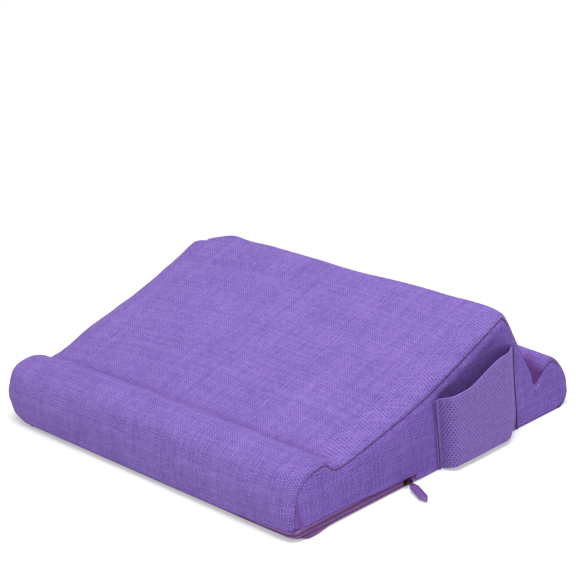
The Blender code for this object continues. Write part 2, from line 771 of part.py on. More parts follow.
def ring_path():
    """Rounded rectangle in (x, z) along the middle of the ring's wire."""
    low, high = RING_CORNER, RING_LENGTH - RING_CORNER
    half = RING_HEIGHT / 2 - RING_CORNER
    corners = (((low, half), 180), ((high, half), 90), ((high, -half), 0), ((low, -half), -90))
    path = []
    for (x, z), start in corners:
        for step in range(RING_CORNER_STEPS + 1):
            angle = math.radians(start - 90 * step / RING_CORNER_STEPS)
            path.append((x + RING_CORNER * math.cos(angle), z + RING_CORNER * math.sin(angle)))
    return path


def build_ring(material):
    """Wire ring through the bridge, standing upright and pointing outwards."""
    path = ring_path()
    count = len(path)
    points = []
    for index, (x, z) in enumerate(path):
        before = path[index - 1]
        after = path[(index + 1) % count]
        direction = Vector((after[0] - before[0], after[1] - before[1])).normalized()
        for side in range(WIRE_SIDES):
            angle = 2 * math.pi * side / WIRE_SIDES
            reach = RING_WIRE / 2 * math.cos(angle)
            rise = RING_WIRE / 2 * math.sin(angle)
            points.append((x - direction.y * reach, rise, z + direction.x * reach))
    faces = []
    for index in range(count):
        low = index * WIRE_SIDES
        high = ((index + 1) % count) * WIRE_SIDES
        for side in range(WIRE_SIDES):
            following = (side + 1) % WIRE_SIDES
            faces.append((low + side, low + following, high + following, high + side))
    ring = add_mesh_object("zip_pull_ring", points, faces, material)
    ring.location = (SIDE + ring_axis_x(), SLIDER_REST_Y, ZIP_SIDE_HEIGHT)
    ring.rotation_euler = (0.0, 0.0, PULL_SWING)
    return ring


def tab_blank(material):
    """Flat tab with pointed ends and rounded edges, its eye at the origin."""
    half_width = TAB_WIDTH / 2
    root = -TAB_EYE_SETBACK
    tip = TAB_LENGTH - TAB_EYE_SETBACK
    outline = [(root, -TAB_ROOT_WIDTH / 2), (root + TAB_POINT, -half_width), (tip - TAB_POINT, -half_width),
               (tip, -TAB_TIP_WIDTH / 2), (tip, TAB_TIP_WIDTH / 2), (tip - TAB_POINT, half_width),
               (root + TAB_POINT, half_width), (root, TAB_ROOT_WIDTH / 2)]
    layers = [[(x, y, z) for x, y in outline] for z in (-TAB_THICKNESS / 2, TAB_THICKNESS / 2)]
    tab = plate_between("zip_pull_tab", layers[0], layers[1], material)
    bevel = tab.modifiers.new("rounding", "BEVEL")
    bevel.width = TAB_THICKNESS / 4
    bevel.segments = 2
    return tab


def tab_ridge(material):
    """Raised line along the middle of the tab, on both of its faces."""
    start = TAB_EYE_RADIUS * 2
    tip = TAB_LENGTH - TAB_EYE_SETBACK
    layers = []
    for x, share in ((start, TAB_RIDGE_END_SHARE), (start + TAB_POINT / 2, 1.0),
                     (tip - TAB_POINT, 1.0), (tip - TAB_POINT / 3, TAB_RIDGE_END_SHARE)):
        half = TAB_RIDGE_WIDTH / 2 * share
        top = TAB_THICKNESS / 2 + TAB_RIDGE * share
        layers.append([(x, -half, -top), (x, half, -top), (x, half, top), (x, -half, top)])
    points, faces = swept_section(layers)
    return add_mesh_object("ridge", points, faces, material)


def build_tab(material):
    """Pull tab with a ridge and a round eye, hung on the far side of the ring."""
    tab = join_into(tab_blank(material), [tab_ridge(material)])
    bpy.ops.mesh.primitive_cylinder_add(vertices=EYE_SIDES, radius=TAB_EYE_RADIUS, depth=TAB_THICKNESS * 4)
    cutter = bpy.context.object
    cutter.name = "eye_cutter"
    cutter.hide_render = True
    cutter.display_type = "WIRE"
    hole = tab.modifiers.new("eye", "BOOLEAN")
    hole.operation = "DIFFERENCE"
    hole.solver = "EXACT"
    hole.object = cutter
    pivot = bpy.data.objects.new("tab_pivot", None)
    bpy.context.collection.objects.link(pivot)
    pivot.location = (SIDE + ring_axis_x() + RING_LENGTH * math.cos(PULL_SWING),
                      SLIDER_REST_Y + RING_LENGTH * math.sin(PULL_SWING), ZIP_SIDE_HEIGHT)
    pivot.rotation_euler = (0.0, TAB_DROOP, PULL_SWING)
    tab.parent = pivot
    cutter.parent = pivot
    return tab


# Mesh pocket on the right side


def pocket_top(y):
    """Height of the pocket's mouth, rising to the rear."""
    rise_start = POCKET_FRONT + POCKET_LEVEL_TOP
    rise_end = POCKET_REAR - POCKET_LEVEL_REAR
    share = (y - rise_start) / (rise_end - rise_start)
    return POCKET_TOP_FRONT + (POCKET_TOP_REAR - POCKET_TOP_FRONT) * smooth_step(share)


def quarter_turn(steps):
    return [math.pi / 2 * step / steps for step in range(steps + 1)]


def pocket_stations(inset):
    """Stations from the front seam to the rear seam, each with its share of the full bulge."""
    angles = quarter_turn(POCKET_WALL_STEPS)
    front = []
    rear = []
    for angle in angles:
        front.append((POCKET_FRONT + inset + (POCKET_FRONT_ROUND - inset) * (1 - math.cos(angle)),
                      math.sin(angle)))
        rear.append((POCKET_REAR - inset - (POCKET_REAR_ROUND - inset) * (1 - math.cos(angle)),
                     math.sin(angle)))
    rear.reverse()
    flat = [(y, 1.0) for y in np.linspace(front[-1][0], rear[0][0], POCKET_FLAT_STEPS + 1)[1:-1]]
    return [(POCKET_FRONT - POCKET_SEAM, 0.0)] + front + flat + rear + [(POCKET_REAR + POCKET_SEAM, 0.0)]


def pocket_point(y, height, share, inset):
    """Point of the pocket at a share of its full bulge."""
    return (SIDE + GAP + POCKET_MESH - inset + POCKET_BULGE * share, y, height)


def pocket_surface(inset=0.0):
    """Face of the pocket, inset from its outside, as rows that climb from its base to its mouth."""
    stations = pocket_stations(inset)
    climb = [(2 * GAP, 0.0)]
    for angle in quarter_turn(POCKET_BASE_STEPS):
        climb.append((POCKET_BASE + inset + (POCKET_BASE_ROUND - inset) * (1 - math.cos(angle)),
                      math.sin(angle)))
    rows = []
    for height, closing in climb:
        rows.append([pocket_point(y, height, closing * share, inset) for y, share in stations])
    for step in range(1, POCKET_RISE_STEPS + 1):
        row = []
        for y, share in stations:
            top = pocket_top(y) - POCKET_GUSSET_DROP * (1 - share)
            height = climb[-1][0] + (top - climb[-1][0]) * step / POCKET_RISE_STEPS
            row.append(pocket_point(y, height, share, inset))
        rows.append(row)
    return np.array(rows)


def outward_normals(grid):
    """Unit normals of a grid whose rows climb and whose columns run to the rear."""
    normals = np.cross(np.gradient(grid, axis=1), np.gradient(grid, axis=0))
    return normals / np.linalg.norm(normals, axis=2, keepdims=True)


def build_pocket(material):
    """Bulging mesh pocket, sewn to the side panel at its front, rear and lower edges."""
    points, faces = closed_slab(pocket_surface(), pocket_surface(POCKET_MESH))
    return add_mesh_object("pocket_mesh", points, faces, material)


def build_pocket_hem(material):
    """Band along the mouth of the pocket, on its outside."""
    surface = pocket_surface()
    normals = outward_normals(surface)
    top = surface[-1, 2:-2]
    top_normals = normals[-1, 2:-2]
    low = top - np.array((0.0, 0.0, POCKET_HEM_WIDTH))
    inner = np.stack([low + GAP * top_normals, top + GAP * top_normals])
    outer = np.stack([low, top]) + (GAP + POCKET_TRIM) * top_normals
    points, faces = closed_slab(outer, inner)
    return add_mesh_object("pocket_hem", points, faces, material)


def build_pocket_binding(name, low_y, high_y, top, material):
    """Flat strip over one sewn edge of the pocket."""
    inner = SIDE + 2 * GAP + POCKET_MESH
    outline = [(low_y, 2 * GAP), (high_y, 2 * GAP), (high_y, top), (low_y, top)]
    layers = [[(x, y, z) for y, z in outline] for x in (inner, inner + POCKET_TRIM)]
    item = plate_between(name, layers[0], layers[1], material)
    bevel = item.modifiers.new("rounding", "BEVEL")
    bevel.width = POCKET_TRIM / 3
    bevel.segments = 2
    return item


def build_all():
    clear_scene()
    linen = make_material("purple_linen", (0.26, 0.13, 0.62), 0.9)
    mesh_fabric = make_material("purple_mesh", (0.24, 0.12, 0.55), 0.8)
    tape = make_material("purple_tape", (0.25, 0.11, 0.45), 0.8)
    teeth = make_material("purple_teeth", (0.22, 0.09, 0.38), 0.45)
    metal = make_material("dark_metal", (0.12, 0.10, 0.12), 0.35, 1.0)
    rubber = make_material("purple_rubber", (0.28, 0.13, 0.55), 0.55)
    foam = make_material("foam", (0.90, 0.87, 0.78), 0.95)
    build_foam_core(foam)
    build_top_panel(linen)
    build_side_panel("side_panel_left", -1, False, linen)
    build_side_panel("side_panel_right", 1, True, linen)
    build_base_panel(linen)
    build_zip_tape("zip_tape_upper", tape_inner_edge(), tape_outer_edge(), tape)
    build_zip_tape("zip_tape_lower", None, -tape_inner_edge(), tape)
    build_zip_teeth(teeth)
    build_zip_stop("zip_stop_left", 0, 1, metal)
    build_zip_stop("zip_stop_rear", -1, -2, metal)
    build_end_fold(linen)
    build_slider(metal)
    build_ring(metal)
    build_tab(rubber)
    build_pocket(mesh_fabric)
    build_pocket_hem(mesh_fabric)
    build_pocket_binding("pocket_binding_front", POCKET_FRONT - POCKET_SEAM, POCKET_FRONT - 3 * GAP,
                         POCKET_TOP_FRONT - POCKET_GUSSET_DROP, mesh_fabric)
    build_pocket_binding("pocket_binding_rear", POCKET_REAR + 3 * GAP, POCKET_REAR + POCKET_SEAM,
                         POCKET_TOP_REAR - POCKET_GUSSET_DROP, mesh_fabric)


build_all()
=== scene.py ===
import math

import bpy
import numpy as np
from mathutils import Euler, Matrix, Vector, kdtree, noise
from mathutils.geometry import delaunay_2d_cdt


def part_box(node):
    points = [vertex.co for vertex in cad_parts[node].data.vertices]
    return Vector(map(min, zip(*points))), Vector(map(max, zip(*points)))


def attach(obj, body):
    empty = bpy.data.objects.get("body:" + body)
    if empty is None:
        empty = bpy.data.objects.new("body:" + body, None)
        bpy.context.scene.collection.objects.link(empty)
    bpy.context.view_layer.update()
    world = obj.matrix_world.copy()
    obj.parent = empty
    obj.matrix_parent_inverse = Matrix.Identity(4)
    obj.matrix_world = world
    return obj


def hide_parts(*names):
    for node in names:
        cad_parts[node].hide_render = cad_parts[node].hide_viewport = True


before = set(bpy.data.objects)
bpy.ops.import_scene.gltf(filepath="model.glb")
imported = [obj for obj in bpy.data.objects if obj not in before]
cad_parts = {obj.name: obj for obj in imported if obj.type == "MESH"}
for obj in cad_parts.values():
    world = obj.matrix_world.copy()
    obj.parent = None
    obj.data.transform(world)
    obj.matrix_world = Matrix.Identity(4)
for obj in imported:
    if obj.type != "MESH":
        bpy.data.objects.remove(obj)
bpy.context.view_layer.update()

BODY = "cover"

# Camera of the photograph
CAMERA_PLACE = (1.187636, -1.001649, 0.689136)
CAMERA_RIGHT = (0.674052557, 0.733508286, -0.087285418)
CAMERA_DOWN = (0.199224125, -0.294304299, -0.934716389)
CAMERA_FORWARD = (-0.711310690, 0.612658611, -0.344509112)
CAMERA_LENS = 115.76

# Cover, as in the solids
WIDTH, DEPTH = 0.395, 0.339
FRONT, REAR, SIDE = -DEPTH / 2, DEPTH / 2, WIDTH / 2
EDGE_RADIUS = 0.0115
REAR_RADIUS = 0.013
ROLL_RADIUS, ROLL_HEIGHT = 0.030, 0.060
SLOPE_Y, SLOPE_Z = FRONT + 0.062, 0.0532
PEAK_Y, PEAK_Z = REAR - 0.078, 0.1145
NOTCH_Y, NOTCH_Z = REAR - 0.0425, 0.0355
BAR_Y, BAR_Z = REAR - 0.021, 0.0498
NOSE_INSET = 0.0055

# Fabric
SETTLING_VOXEL = 0.006
SETTLING_FRAMES = 20
SETTLING_CAP = 0.0020
SETTLING_NEAR, SETTLING_BLUR = 16, 0.010
CLOTH_SETTINGS = {
    "quality": 5, "mass": 0.3, "tension_stiffness": 15, "compression_stiffness": 15,
    "shear_stiffness": 5, "bending_stiffness": 0.5, "shrink_min": -0.015,
    "use_pressure": True, "uniform_pressure_force": 4.0}
SEAM_WIDTH = 0.0017
SEAM_DEPTH, SEAM_DEPTH_MORE = 0.0002, 0.0008
PUCKER_PITCH, PUCKER_START = 0.0085, 0.0015
# Folds of the right side: height, two ends in (y, z) and width
SIDE_FOLDS = (
    (-0.0026, (-0.1615, 0.032), (-0.158, 0.006), 0.0032),
    (0.0006, (-0.152, 0.032), (-0.148, 0.006), 0.0040),
    (-0.0007, (0.122, 0.034), (0.130, 0.033), 0.0014),
    (0.0008, (0.121, 0.030), (0.129, 0.028), 0.0020),
    (-0.0005, (0.143, 0.026), (0.164, 0.024), 0.0018))
ROLL_HOLLOW, ROLL_HOLLOW_SHADE = ((-0.1615, 0.034), (-0.158, 0.008), 0.0030), 0.65

# Zip
ZIP_START_X = -0.165
ZIP_END_Y = -0.027
ZIP_SIDE_Z = 0.0046
ZIP_DIP_X = 0.115
ZIP_CORNER_ARC, ZIP_FRONT_ARC = 0.0106, 0.0058
TAPE_GAP = 0.0022
TAPE_WIDTH = 0.0030
ABOVE_ZIP = TAPE_GAP + TAPE_WIDTH + 0.0003
COIL_PITCH, COIL_SIDES, COIL_MARGIN = 0.0013, 8, 0.0035
FLARE_Y, FLARE_LENGTH, FLARE = -0.148, 0.014, 0.0034
SIDE_START_Y = FRONT + NOSE_INSET + EDGE_RADIUS

# Mesh pocket
POCKET_FRONT, POCKET_REAR = 0.0010, 0.0965
POCKET_BULGE = 0.014
POCKET_FRONT_ROUND = 0.007
POCKET_BASE, POCKET_BASE_ROUND = 0.001, 0.0045
POCKET_SEAM = 0.0035
POCKET_TOP_FRONT, POCKET_TOP_REAR = 0.0675, 0.0825
POCKET_SLOPE_END, POCKET_SLOPE = 0.0955, 0.027
MESH = 0.0012
GAP = 0.0003

# Pull tab, about its eye
TAB_PLACE = (0.207622, -0.042580, 0.0046)
TAB_TURN = (0.0, math.radians(7.0), math.radians(-21.0))
TAB_ROOT, TAB_TIP = -0.0024, 0.0256


# Light
WHITE = (1.0, 1.0, 1.0, 1.0)
WORLD_LIGHT = 0.55
KEY_LAMP, KEY_POWER = (0.50, -0.30, 2.1), 49
SIDE_LAMP, SIDE_POWER = (2.0, -0.3, 0.8), 2
LAMP_TARGET, LAMP_SIZE = (0.0, 0.0, 0.05), 1.2
FLOOR_HALF, FLOOR_Z = 6.0, -0.0002


# Nodes for procedural materials


class Nodes:
    """Short calls for building the nodes of a material or a world."""

    def __init__(self, owner):
        owner.use_nodes = True
        self.owner = owner
        self.tree = owner.node_tree
        self.shader = self.tree.nodes.get("Principled BSDF")

    def put(self, socket, value):
        if isinstance(value, bpy.types.NodeSocket):
            self.tree.links.new(value, socket)
        else:
            socket.default_value = value

    def node(self, kind, inputs=None, **settings):
        made = self.tree.nodes.new(kind)
        for key, value in settings.items():
            setattr(made, key, value)
        for key, value in (inputs or {}).items():
            self.put(made.inputs[key], value)
        return made

    def math(self, operation, first, second=0.0, third=0.0):
        made = self.node("ShaderNodeMath", {0: first, 1: second, 2: third}, operation=operation)
        return made.outputs[0]

    def add(self, first, second):
        return self.math("ADD", first, second)

    def subtract(self, first, second):
        return self.math("SUBTRACT", first, second)

    def multiply(self, first, second):
        return self.math("MULTIPLY", first, second)

    def mix(self, factor, first, second):
        made = self.node("ShaderNodeMix", data_type="RGBA")
        self.put(made.inputs[0], factor)
        self.put(made.inputs[6], first)
        self.put(made.inputs[7], second)
        return made.outputs[2]

    def ramp(self, value, low, high, first=0.0, second=1.0):
        made = self.node("ShaderNodeMapRange", {0: value, 1: low, 2: high, 3: first, 4: second})
        made.interpolation_type = "SMOOTHSTEP"
        return made.outputs[0]

    def noise(self, vector, scale, detail=2.0, roughness=0.5):
        made = self.node("ShaderNodeTexNoise", {"Vector": vector, "Scale": scale, "Detail": detail,
                                                "Roughness": roughness})
        return made.outputs[0]

    def split(self, vector):
        return self.node("ShaderNodeSeparateXYZ", {0: vector}).outputs

    def vector(self, x=0.0, y=0.0, z=0.0):
        return self.node("ShaderNodeCombineXYZ", {0: x, 1: y, 2: z}).outputs[0]

    def attribute(self, name):
        return self.node("ShaderNodeAttribute", attribute_name=name, attribute_type="GEOMETRY")

    def random(self, value):
        return self.node("ShaderNodeTexWhiteNoise", {"W": value}, noise_dimensions="1D").outputs[0]

    def bump(self, height, distance, strength=1.0, normal=None):
        made = self.node("ShaderNodeBump", {"Height": height, "Distance": distance, "Strength": strength})
        if normal is not None:
            self.put(made.inputs["Normal"], normal)
        return made.outputs[0]

    def surface(self, inputs):
        """The material, with its shader's inputs set by name."""
        for key, value in inputs.items():
            self.put(self.shader.inputs[key], value)
        return self.owner


def material_nodes(name):
    return Nodes(bpy.data.materials.new(name))


def colour(text, alpha=1.0):
    """Linear colour of a #RRGGBB text."""
    parts = [int(text[i:i + 2], 16) / 255 for i in (1, 3, 5)]
    return tuple(c / 12.92 if c <= 0.04045 else ((c + 0.055) / 1.055) ** 2.4 for c in parts) + (alpha,)


def woven_material(name, top, flank, painted_shade_colour, pitch=0.0014, relief=0.00030):
    """Plain weave of slubby threads, placed by the cloth attribute in metres.

    A share attribute goes from the top's light, dark and deep colours to the sides' darker copies, which are
    painted shade on the sides."""
    n = material_nodes(name)
    share = n.attribute("flank").outputs["Fac"]
    light, dark, deep = [n.mix(share, first, second) for first, second in zip(top, flank)]
    place = n.attribute("cloth").outputs["Vector"]
    wobble = n.noise(place, 260.0, 1.0)
    parts = n.split(place)
    drift = n.multiply(n.subtract(wobble, 0.5), 0.0006)
    u = n.math("DIVIDE", n.add(parts[0], drift), pitch)
    v = n.math("DIVIDE", n.add(parts[1], drift), pitch)
    warp, weft = n.math("FLOOR", u), n.math("FLOOR", v)
    across_u = n.math("ABSOLUTE", n.subtract(n.subtract(u, warp), 0.5))
    across_v = n.math("ABSOLUTE", n.subtract(n.subtract(v, weft), 0.5))
    parity = n.math("FLOORED_MODULO", n.add(warp, weft), 2.0)
    # Each crossing is a short arch of the thread on top
    side_u = n.subtract(1.0, n.math("POWER", n.multiply(across_u, 2.0), 2.0))
    side_v = n.subtract(1.0, n.math("POWER", n.multiply(across_v, 2.0), 2.0))
    arch_warp = n.multiply(side_u, n.math("POWER", side_v, 0.5))
    arch_weft = n.multiply(side_v, n.math("POWER", side_u, 0.5))
    height = n.add(n.multiply(arch_warp, n.subtract(1.0, parity)),
                    n.multiply(arch_weft, parity))
    # Threads differ in tone and swell into slubs along their length
    slub_warp = n.noise(n.vector(n.multiply(warp, 7.3), n.multiply(v, 0.16)), 1.0, 2.0)
    slub_weft = n.noise(n.vector(n.multiply(u, 0.16), n.multiply(weft, 9.1), 4.0), 1.0, 2.0)
    tone_warp = n.add(n.multiply(n.random(warp), 0.22), n.multiply(slub_warp, 0.78))
    tone_weft = n.add(n.multiply(n.random(n.add(weft, 0.37)), 0.22),
                       n.multiply(slub_weft, 0.78))
    tone_weft = n.subtract(tone_weft, 0.20)
    tone = n.add(n.multiply(tone_warp, n.subtract(1.0, parity)),
                  n.multiply(tone_weft, parity))
    body = n.mix(n.ramp(tone, 0.08, 0.72), dark, light)
    shown = n.mix(n.ramp(height, 0.05, 0.75), deep, body)
    patches = n.noise(place, 22.0, 3.0)
    shown = n.mix(n.ramp(patches, 0.35, 0.70, 0.0, 0.12), shown, deep)
    # Painted shade from the crease attribute: the cloth turns darker and redder where shade falls in
    # grooves, hollows and under the edge above the zip
    shown = n.mix(n.attribute("crease").outputs["Fac"], shown, painted_shade_colour)
    fuzz = n.noise(place, 2600.0, 2.0)
    coarse = n.bump(n.add(height, n.multiply(tone, 0.5)), relief)
    return n.surface({
        "Base Color": shown,
        "Roughness": n.ramp(height, 0.0, 1.0, 0.95, 0.80),
        "Sheen Weight": 0.12,
        "Sheen Roughness": 0.55,
        "Sheen Tint": top[0],
        "Specular IOR Level": 0.15,
        "Normal": n.bump(fuzz, 0.00008, 0.6, coarse),
    })


def perforated_material(name, light, dark, deep, spacing=0.0033, radius=0.00075):
    """Smooth knit with rows of small round holes, placed by the cloth attribute."""
    n = material_nodes(name)
    place = n.attribute("cloth").outputs["Vector"]
    parts = n.split(place)
    row_gap = spacing * 0.7
    row = n.math("FLOOR", n.math("DIVIDE", parts[1], row_gap))
    shift = n.multiply(n.math("FLOORED_MODULO", row, 2.0), spacing / 2)
    along = n.math("FLOORED_MODULO", n.add(parts[0], shift), spacing)
    up = n.subtract(n.math("FLOORED_MODULO", parts[1], row_gap), row_gap / 2)
    along = n.subtract(along, spacing / 2)
    distance = n.math("SQRT", n.add(n.math("POWER", along, 2.0), n.math("POWER", up, 2.0)))
    knit = n.math("SINE", n.multiply(parts[1], 2 * math.pi / 0.0007))
    hole_share = n.attribute("holes").outputs["Fac"]
    hole = n.multiply(n.ramp(distance, radius * 0.75, radius * 1.25, 1.0, 0.0), hole_share)
    cloudy = n.noise(place, 240.0, 3.0)
    body = n.mix(n.ramp(cloudy, 0.3, 0.7), dark, light)
    relief = n.subtract(n.multiply(knit, 0.06), hole)
    return n.surface({
        "Base Color": n.mix(hole, body, deep),
        "Roughness": n.ramp(hole, 0.0, 1.0, 0.62, 0.95),
        "Sheen Weight": 0.10,
        "Sheen Tint": light,
        "Specular IOR Level": 0.2,
        "Normal": n.bump(relief, 0.0004),
    })


def tape_material(name, light, dark):
    """Close herringbone ribs along the zip."""
    n = material_nodes(name)
    place = n.attribute("cloth").outputs["Vector"]
    parts = n.split(place)
    fold = n.math("ABSOLUTE", n.subtract(n.math("FLOORED_MODULO", parts[1], 0.0016), 0.0008))
    wave = n.math("SINE", n.multiply(n.add(parts[0], fold), 2 * math.pi / 0.0008))
    mottled = n.noise(place, 320.0, 3.0)
    tone = n.add(n.multiply(wave, 0.25), mottled)
    return n.surface({
        "Base Color": n.mix(n.ramp(tone, 0.2, 0.8), dark, light),
        "Roughness": 0.75,
        "Sheen Weight": 0.2,
        "Specular IOR Level": 0.2,
        "Normal": n.bump(wave, 0.00012),
    })


def thread_material(name, light, dark):
    """Twisted sewing thread, with its stitches along the cloth attribute."""
    n = material_nodes(name)
    parts = n.split(n.attribute("cloth").outputs["Vector"])
    stitch = n.math("SINE", n.multiply(parts[0], 2 * math.pi / 0.0030))
    twist = n.math("SINE", n.multiply(n.add(parts[0], parts[1]), 2 * math.pi / 0.0007))
    tone = n.add(n.multiply(stitch, 0.6), n.multiply(twist, 0.4))
    return n.surface({
        "Base Color": n.mix(n.ramp(tone, -1.0, 1.0), dark, light),
        "Roughness": 0.7,
        "Sheen Weight": 0.1,
        "Specular IOR Level": 0.25,
        "Normal": n.bump(tone, 0.0001),
    })


def moulded_material(name, base, worn, roughness, metallic=0.0, grain=900.0, coat=0.0):
    """Moulded or cast surface with fine grain and rubbed patches."""
    n = material_nodes(name)
    place = n.node("ShaderNodeTexCoord").outputs["Object"]
    grains = n.noise(place, grain, 3.0)
    patches = n.noise(place, 140.0, 3.0)
    return n.surface({
        "Base Color": n.mix(n.ramp(patches, 0.45, 0.75), base, worn),
        "Roughness": n.ramp(grains, 0.3, 0.7, roughness - 0.08, roughness + 0.08),
        "Metallic": metallic,
        "Coat Weight": coat,
        "Normal": n.bump(grains, 0.00004, 0.5),
    })


# Section of the cover


def smooth_curve(keys, steps):
    keys = [np.array(key, dtype=float) for key in keys]
    padded = [2 * keys[0] - keys[1]] + keys + [2 * keys[-1] - keys[-2]]
    curve = []
    for before, start, end, after in zip(padded, padded[1:], padded[2:], padded[3:]):
        for step in range(steps):
            t = step / steps
            curve.append(0.5 * (2 * start + (end - before) * t
                                + (2 * before - 5 * start + 4 * end - after) * t ** 2
                                + (3 * start - before - 3 * end + after) * t ** 3))
    curve.append(keys[-1])
    return np.array(curve)


def roll_point(angle):
    angle = math.radians(angle)
    return (FRONT + ROLL_RADIUS * (1 + math.cos(angle)),
            ROLL_HEIGHT - ROLL_RADIUS + ROLL_RADIUS * math.sin(angle))


def slope_point(share):
    top_y, top_z = PEAK_Y - 0.009, PEAK_Z - 0.002
    return (SLOPE_Y + share * (top_y - SLOPE_Y), SLOPE_Z + share * (top_z - SLOPE_Z))


def back_point(share):
    y = PEAK_Y + 0.0015
    return (y + share * (NOTCH_Y - y) + 0.001 * math.sin(math.pi * share),
            PEAK_Z + share * (NOTCH_Z - PEAK_Z))


def section_keys():
    """Crown points and how far the side seam lies from them, front to rear."""
    pairs = [
        ((FRONT, EDGE_RADIUS), (0.0055, 0.0)),
        (roll_point(180), (0.0088, -0.0010)),
        (roll_point(135), (0.0085, -0.0085)),
        (roll_point(90), (0.0020, -0.0085)),
        (roll_point(60), (-0.0010, -0.00425)),
        ((FRONT + 0.0495, 0.050), (0.0020, -0.0042)),
        ((SLOPE_Y, SLOPE_Z), (0.0010, -0.0084)),
        (slope_point(0.25), (0.0, -0.0132)),
        (slope_point(0.50), (0.0, -0.0155)),
        (slope_point(0.75), (0.0, -0.0124)),
        (slope_point(1.0), (-0.0020, -0.0080)),
        ((PEAK_Y, PEAK_Z), (-0.0030, -0.0080)),
        (back_point(0.12), (-0.00275, -0.0072)),
        (back_point(0.35), (-0.0055, -0.0024)),
        (back_point(0.65), (-0.0055, 0.0)),
        (back_point(0.90), (-0.0033, 0.0)),
        ((NOTCH_Y, NOTCH_Z), (-0.0025, -0.0020)),
        ((BAR_Y - 0.010, BAR_Z - 0.0040), (0.0, -0.0035)),
        ((BAR_Y, BAR_Z), (-0.0010, -0.0035)),
        ((BAR_Y + 0.010, BAR_Z - 0.0045), (-0.0020, -0.0035)),
        ((REAR - 0.00195, BAR_Z - 0.0221), (-0.0020, 0.0)),
        ((REAR, REAR_RADIUS), (-0.0020, 0.0)),
    ]
    crown = [key for key, shift in pairs]
    seam = [(key[0] + shift[0], key[1] + shift[1]) for key, shift in pairs]
    return crown, seam


def shoulder_width(crown, seam):
    drop = math.hypot(crown[0] - seam[0], crown[1] - seam[1])
    return min(max(2.4 * drop, 0.004), 0.025)


def smooth_step(value):
    value = np.clip(value, 0.0, 1.0)
    return value * value * (3 - 2 * value)


def settled(points):
    """Points of the cover with its left end settled, as in the solids."""
    points = np.array(points, dtype=float)
    x, y, z = np.moveaxis(points, -1, 0)
    peak = smooth_step((0.050 - SIDE - x) / 0.050) * smooth_step((y - PEAK_Y + 0.0235) / 0.022)
    peak *= np.clip((z - NOTCH_Z) / (PEAK_Z - NOTCH_Z), 0.0, 1.0)
    roll = smooth_step((0.060 - SIDE - x) / 0.060) * smooth_step((y - FRONT - EDGE_RADIUS) / 0.035)
    roll *= 1 - smooth_step((y - SLOPE_Y) / 0.035)
    roll *= smooth_step((z - ROLL_RADIUS) / (ROLL_HEIGHT - ROLL_RADIUS))
    nose = smooth_step((0.030 - SIDE - x) / 0.030) * (1 - smooth_step(z / 0.034))
    nose *= 1 - smooth_step((y - FRONT) / 0.040)
    return points + np.stack([0.0 * x, 0.0065 * nose, -0.0085 * peak - 0.0040 * roll], axis=-1)


def zip_arc(x):
    share = smooth_step((x - ZIP_DIP_X) / (SIDE - ZIP_DIP_X))
    return ZIP_FRONT_ARC + share * (ZIP_CORNER_ARC - ZIP_FRONT_ARC)


# Stations across the width: -1 to 1 between the shoulders, beyond that round a shoulder
SHOULDER_STEPS, MIDDLE_STEPS = 12, 96
STATIONS = np.concatenate([
    -1 - np.linspace(1, 0, SHOULDER_STEPS, endpoint=False),
    np.linspace(-1, 1, MIDDLE_STEPS + 1),
    1 + np.linspace(0, 1, SHOULDER_STEPS + 1)[1:]])


def shoulder_points(crown, seam, width, depth=0.0, stations=STATIONS):
    """Row of points over the cover at one place along its section."""
    turn = np.clip(np.abs(stations) - 1, 0, 1) * math.pi / 2
    flat = np.clip(stations, -1, 1)
    x = np.abs(flat) * (SIDE - depth - width) + width * np.sin(turn)
    y = seam[0] + (crown[0] - seam[0]) * np.cos(turn)
    z = seam[1] + (crown[1] - seam[1]) * np.cos(turn)
    return np.stack([np.sign(stations) * x, y, z], axis=1)


def front_edge_row(arcs, depth, stations=STATIONS):
    """Row of points round the lower front edge, each at its own arc length above the base."""
    crown, seam = (FRONT, 0.0), (FRONT + NOSE_INSET, 0.0)
    row = shoulder_points(crown, seam, shoulder_width(crown, seam), depth, stations)
    turn = np.asarray(arcs) / EDGE_RADIUS
    radius = EDGE_RADIUS - depth
    row[:, 1] += EDGE_RADIUS - radius * np.sin(turn)
    row[:, 2] = EDGE_RADIUS - radius * np.cos(turn)
    return row


def front_arcs(stations=STATIONS):
    return zip_arc(front_edge_row(np.zeros(len(stations)), 0.0, stations)[:, 0])


def fabric_arcs():
    """Arc of the top panel's lower edge: it covers the upper tape left of the middle."""
    x = front_edge_row(np.zeros(len(STATIONS)), 0.0)[:, 0]
    return front_arcs() + 0.0024 + (ABOVE_ZIP - 0.0024) * smooth_step((x - 0.05) / 0.09)


# Mesh helpers


def new_mesh(name, points, faces):
    mesh = bpy.data.meshes.new(name)
    mesh.from_pydata([tuple(p) for p in points], [], [tuple(int(i) for i in face) for face in faces])
    return mesh


def place_object(name, data):
    made = bpy.data.objects.new(name, data)
    bpy.context.collection.objects.link(made)
    return made


def evaluated(piece):
    return piece.evaluated_get(bpy.context.evaluated_depsgraph_get())


def search_tree(points):
    tree = kdtree.KDTree(len(points))
    for i, place in enumerate(points):
        tree.insert(place, i)
    tree.balance()
    return tree


def bell(distance, width):
    """1 at no distance, falling smoothly to nothing past about two widths."""
    return np.exp(-(distance / width) ** 2)


def grid_faces(rows, columns, start=0, flip=False):
    low = (start + np.arange(rows - 1)[:, None] * columns + np.arange(columns - 1)).ravel()
    faces = np.stack([low, low + 1, low + columns + 1, low + columns], axis=1)
    return faces[:, ::-1] if flip else faces


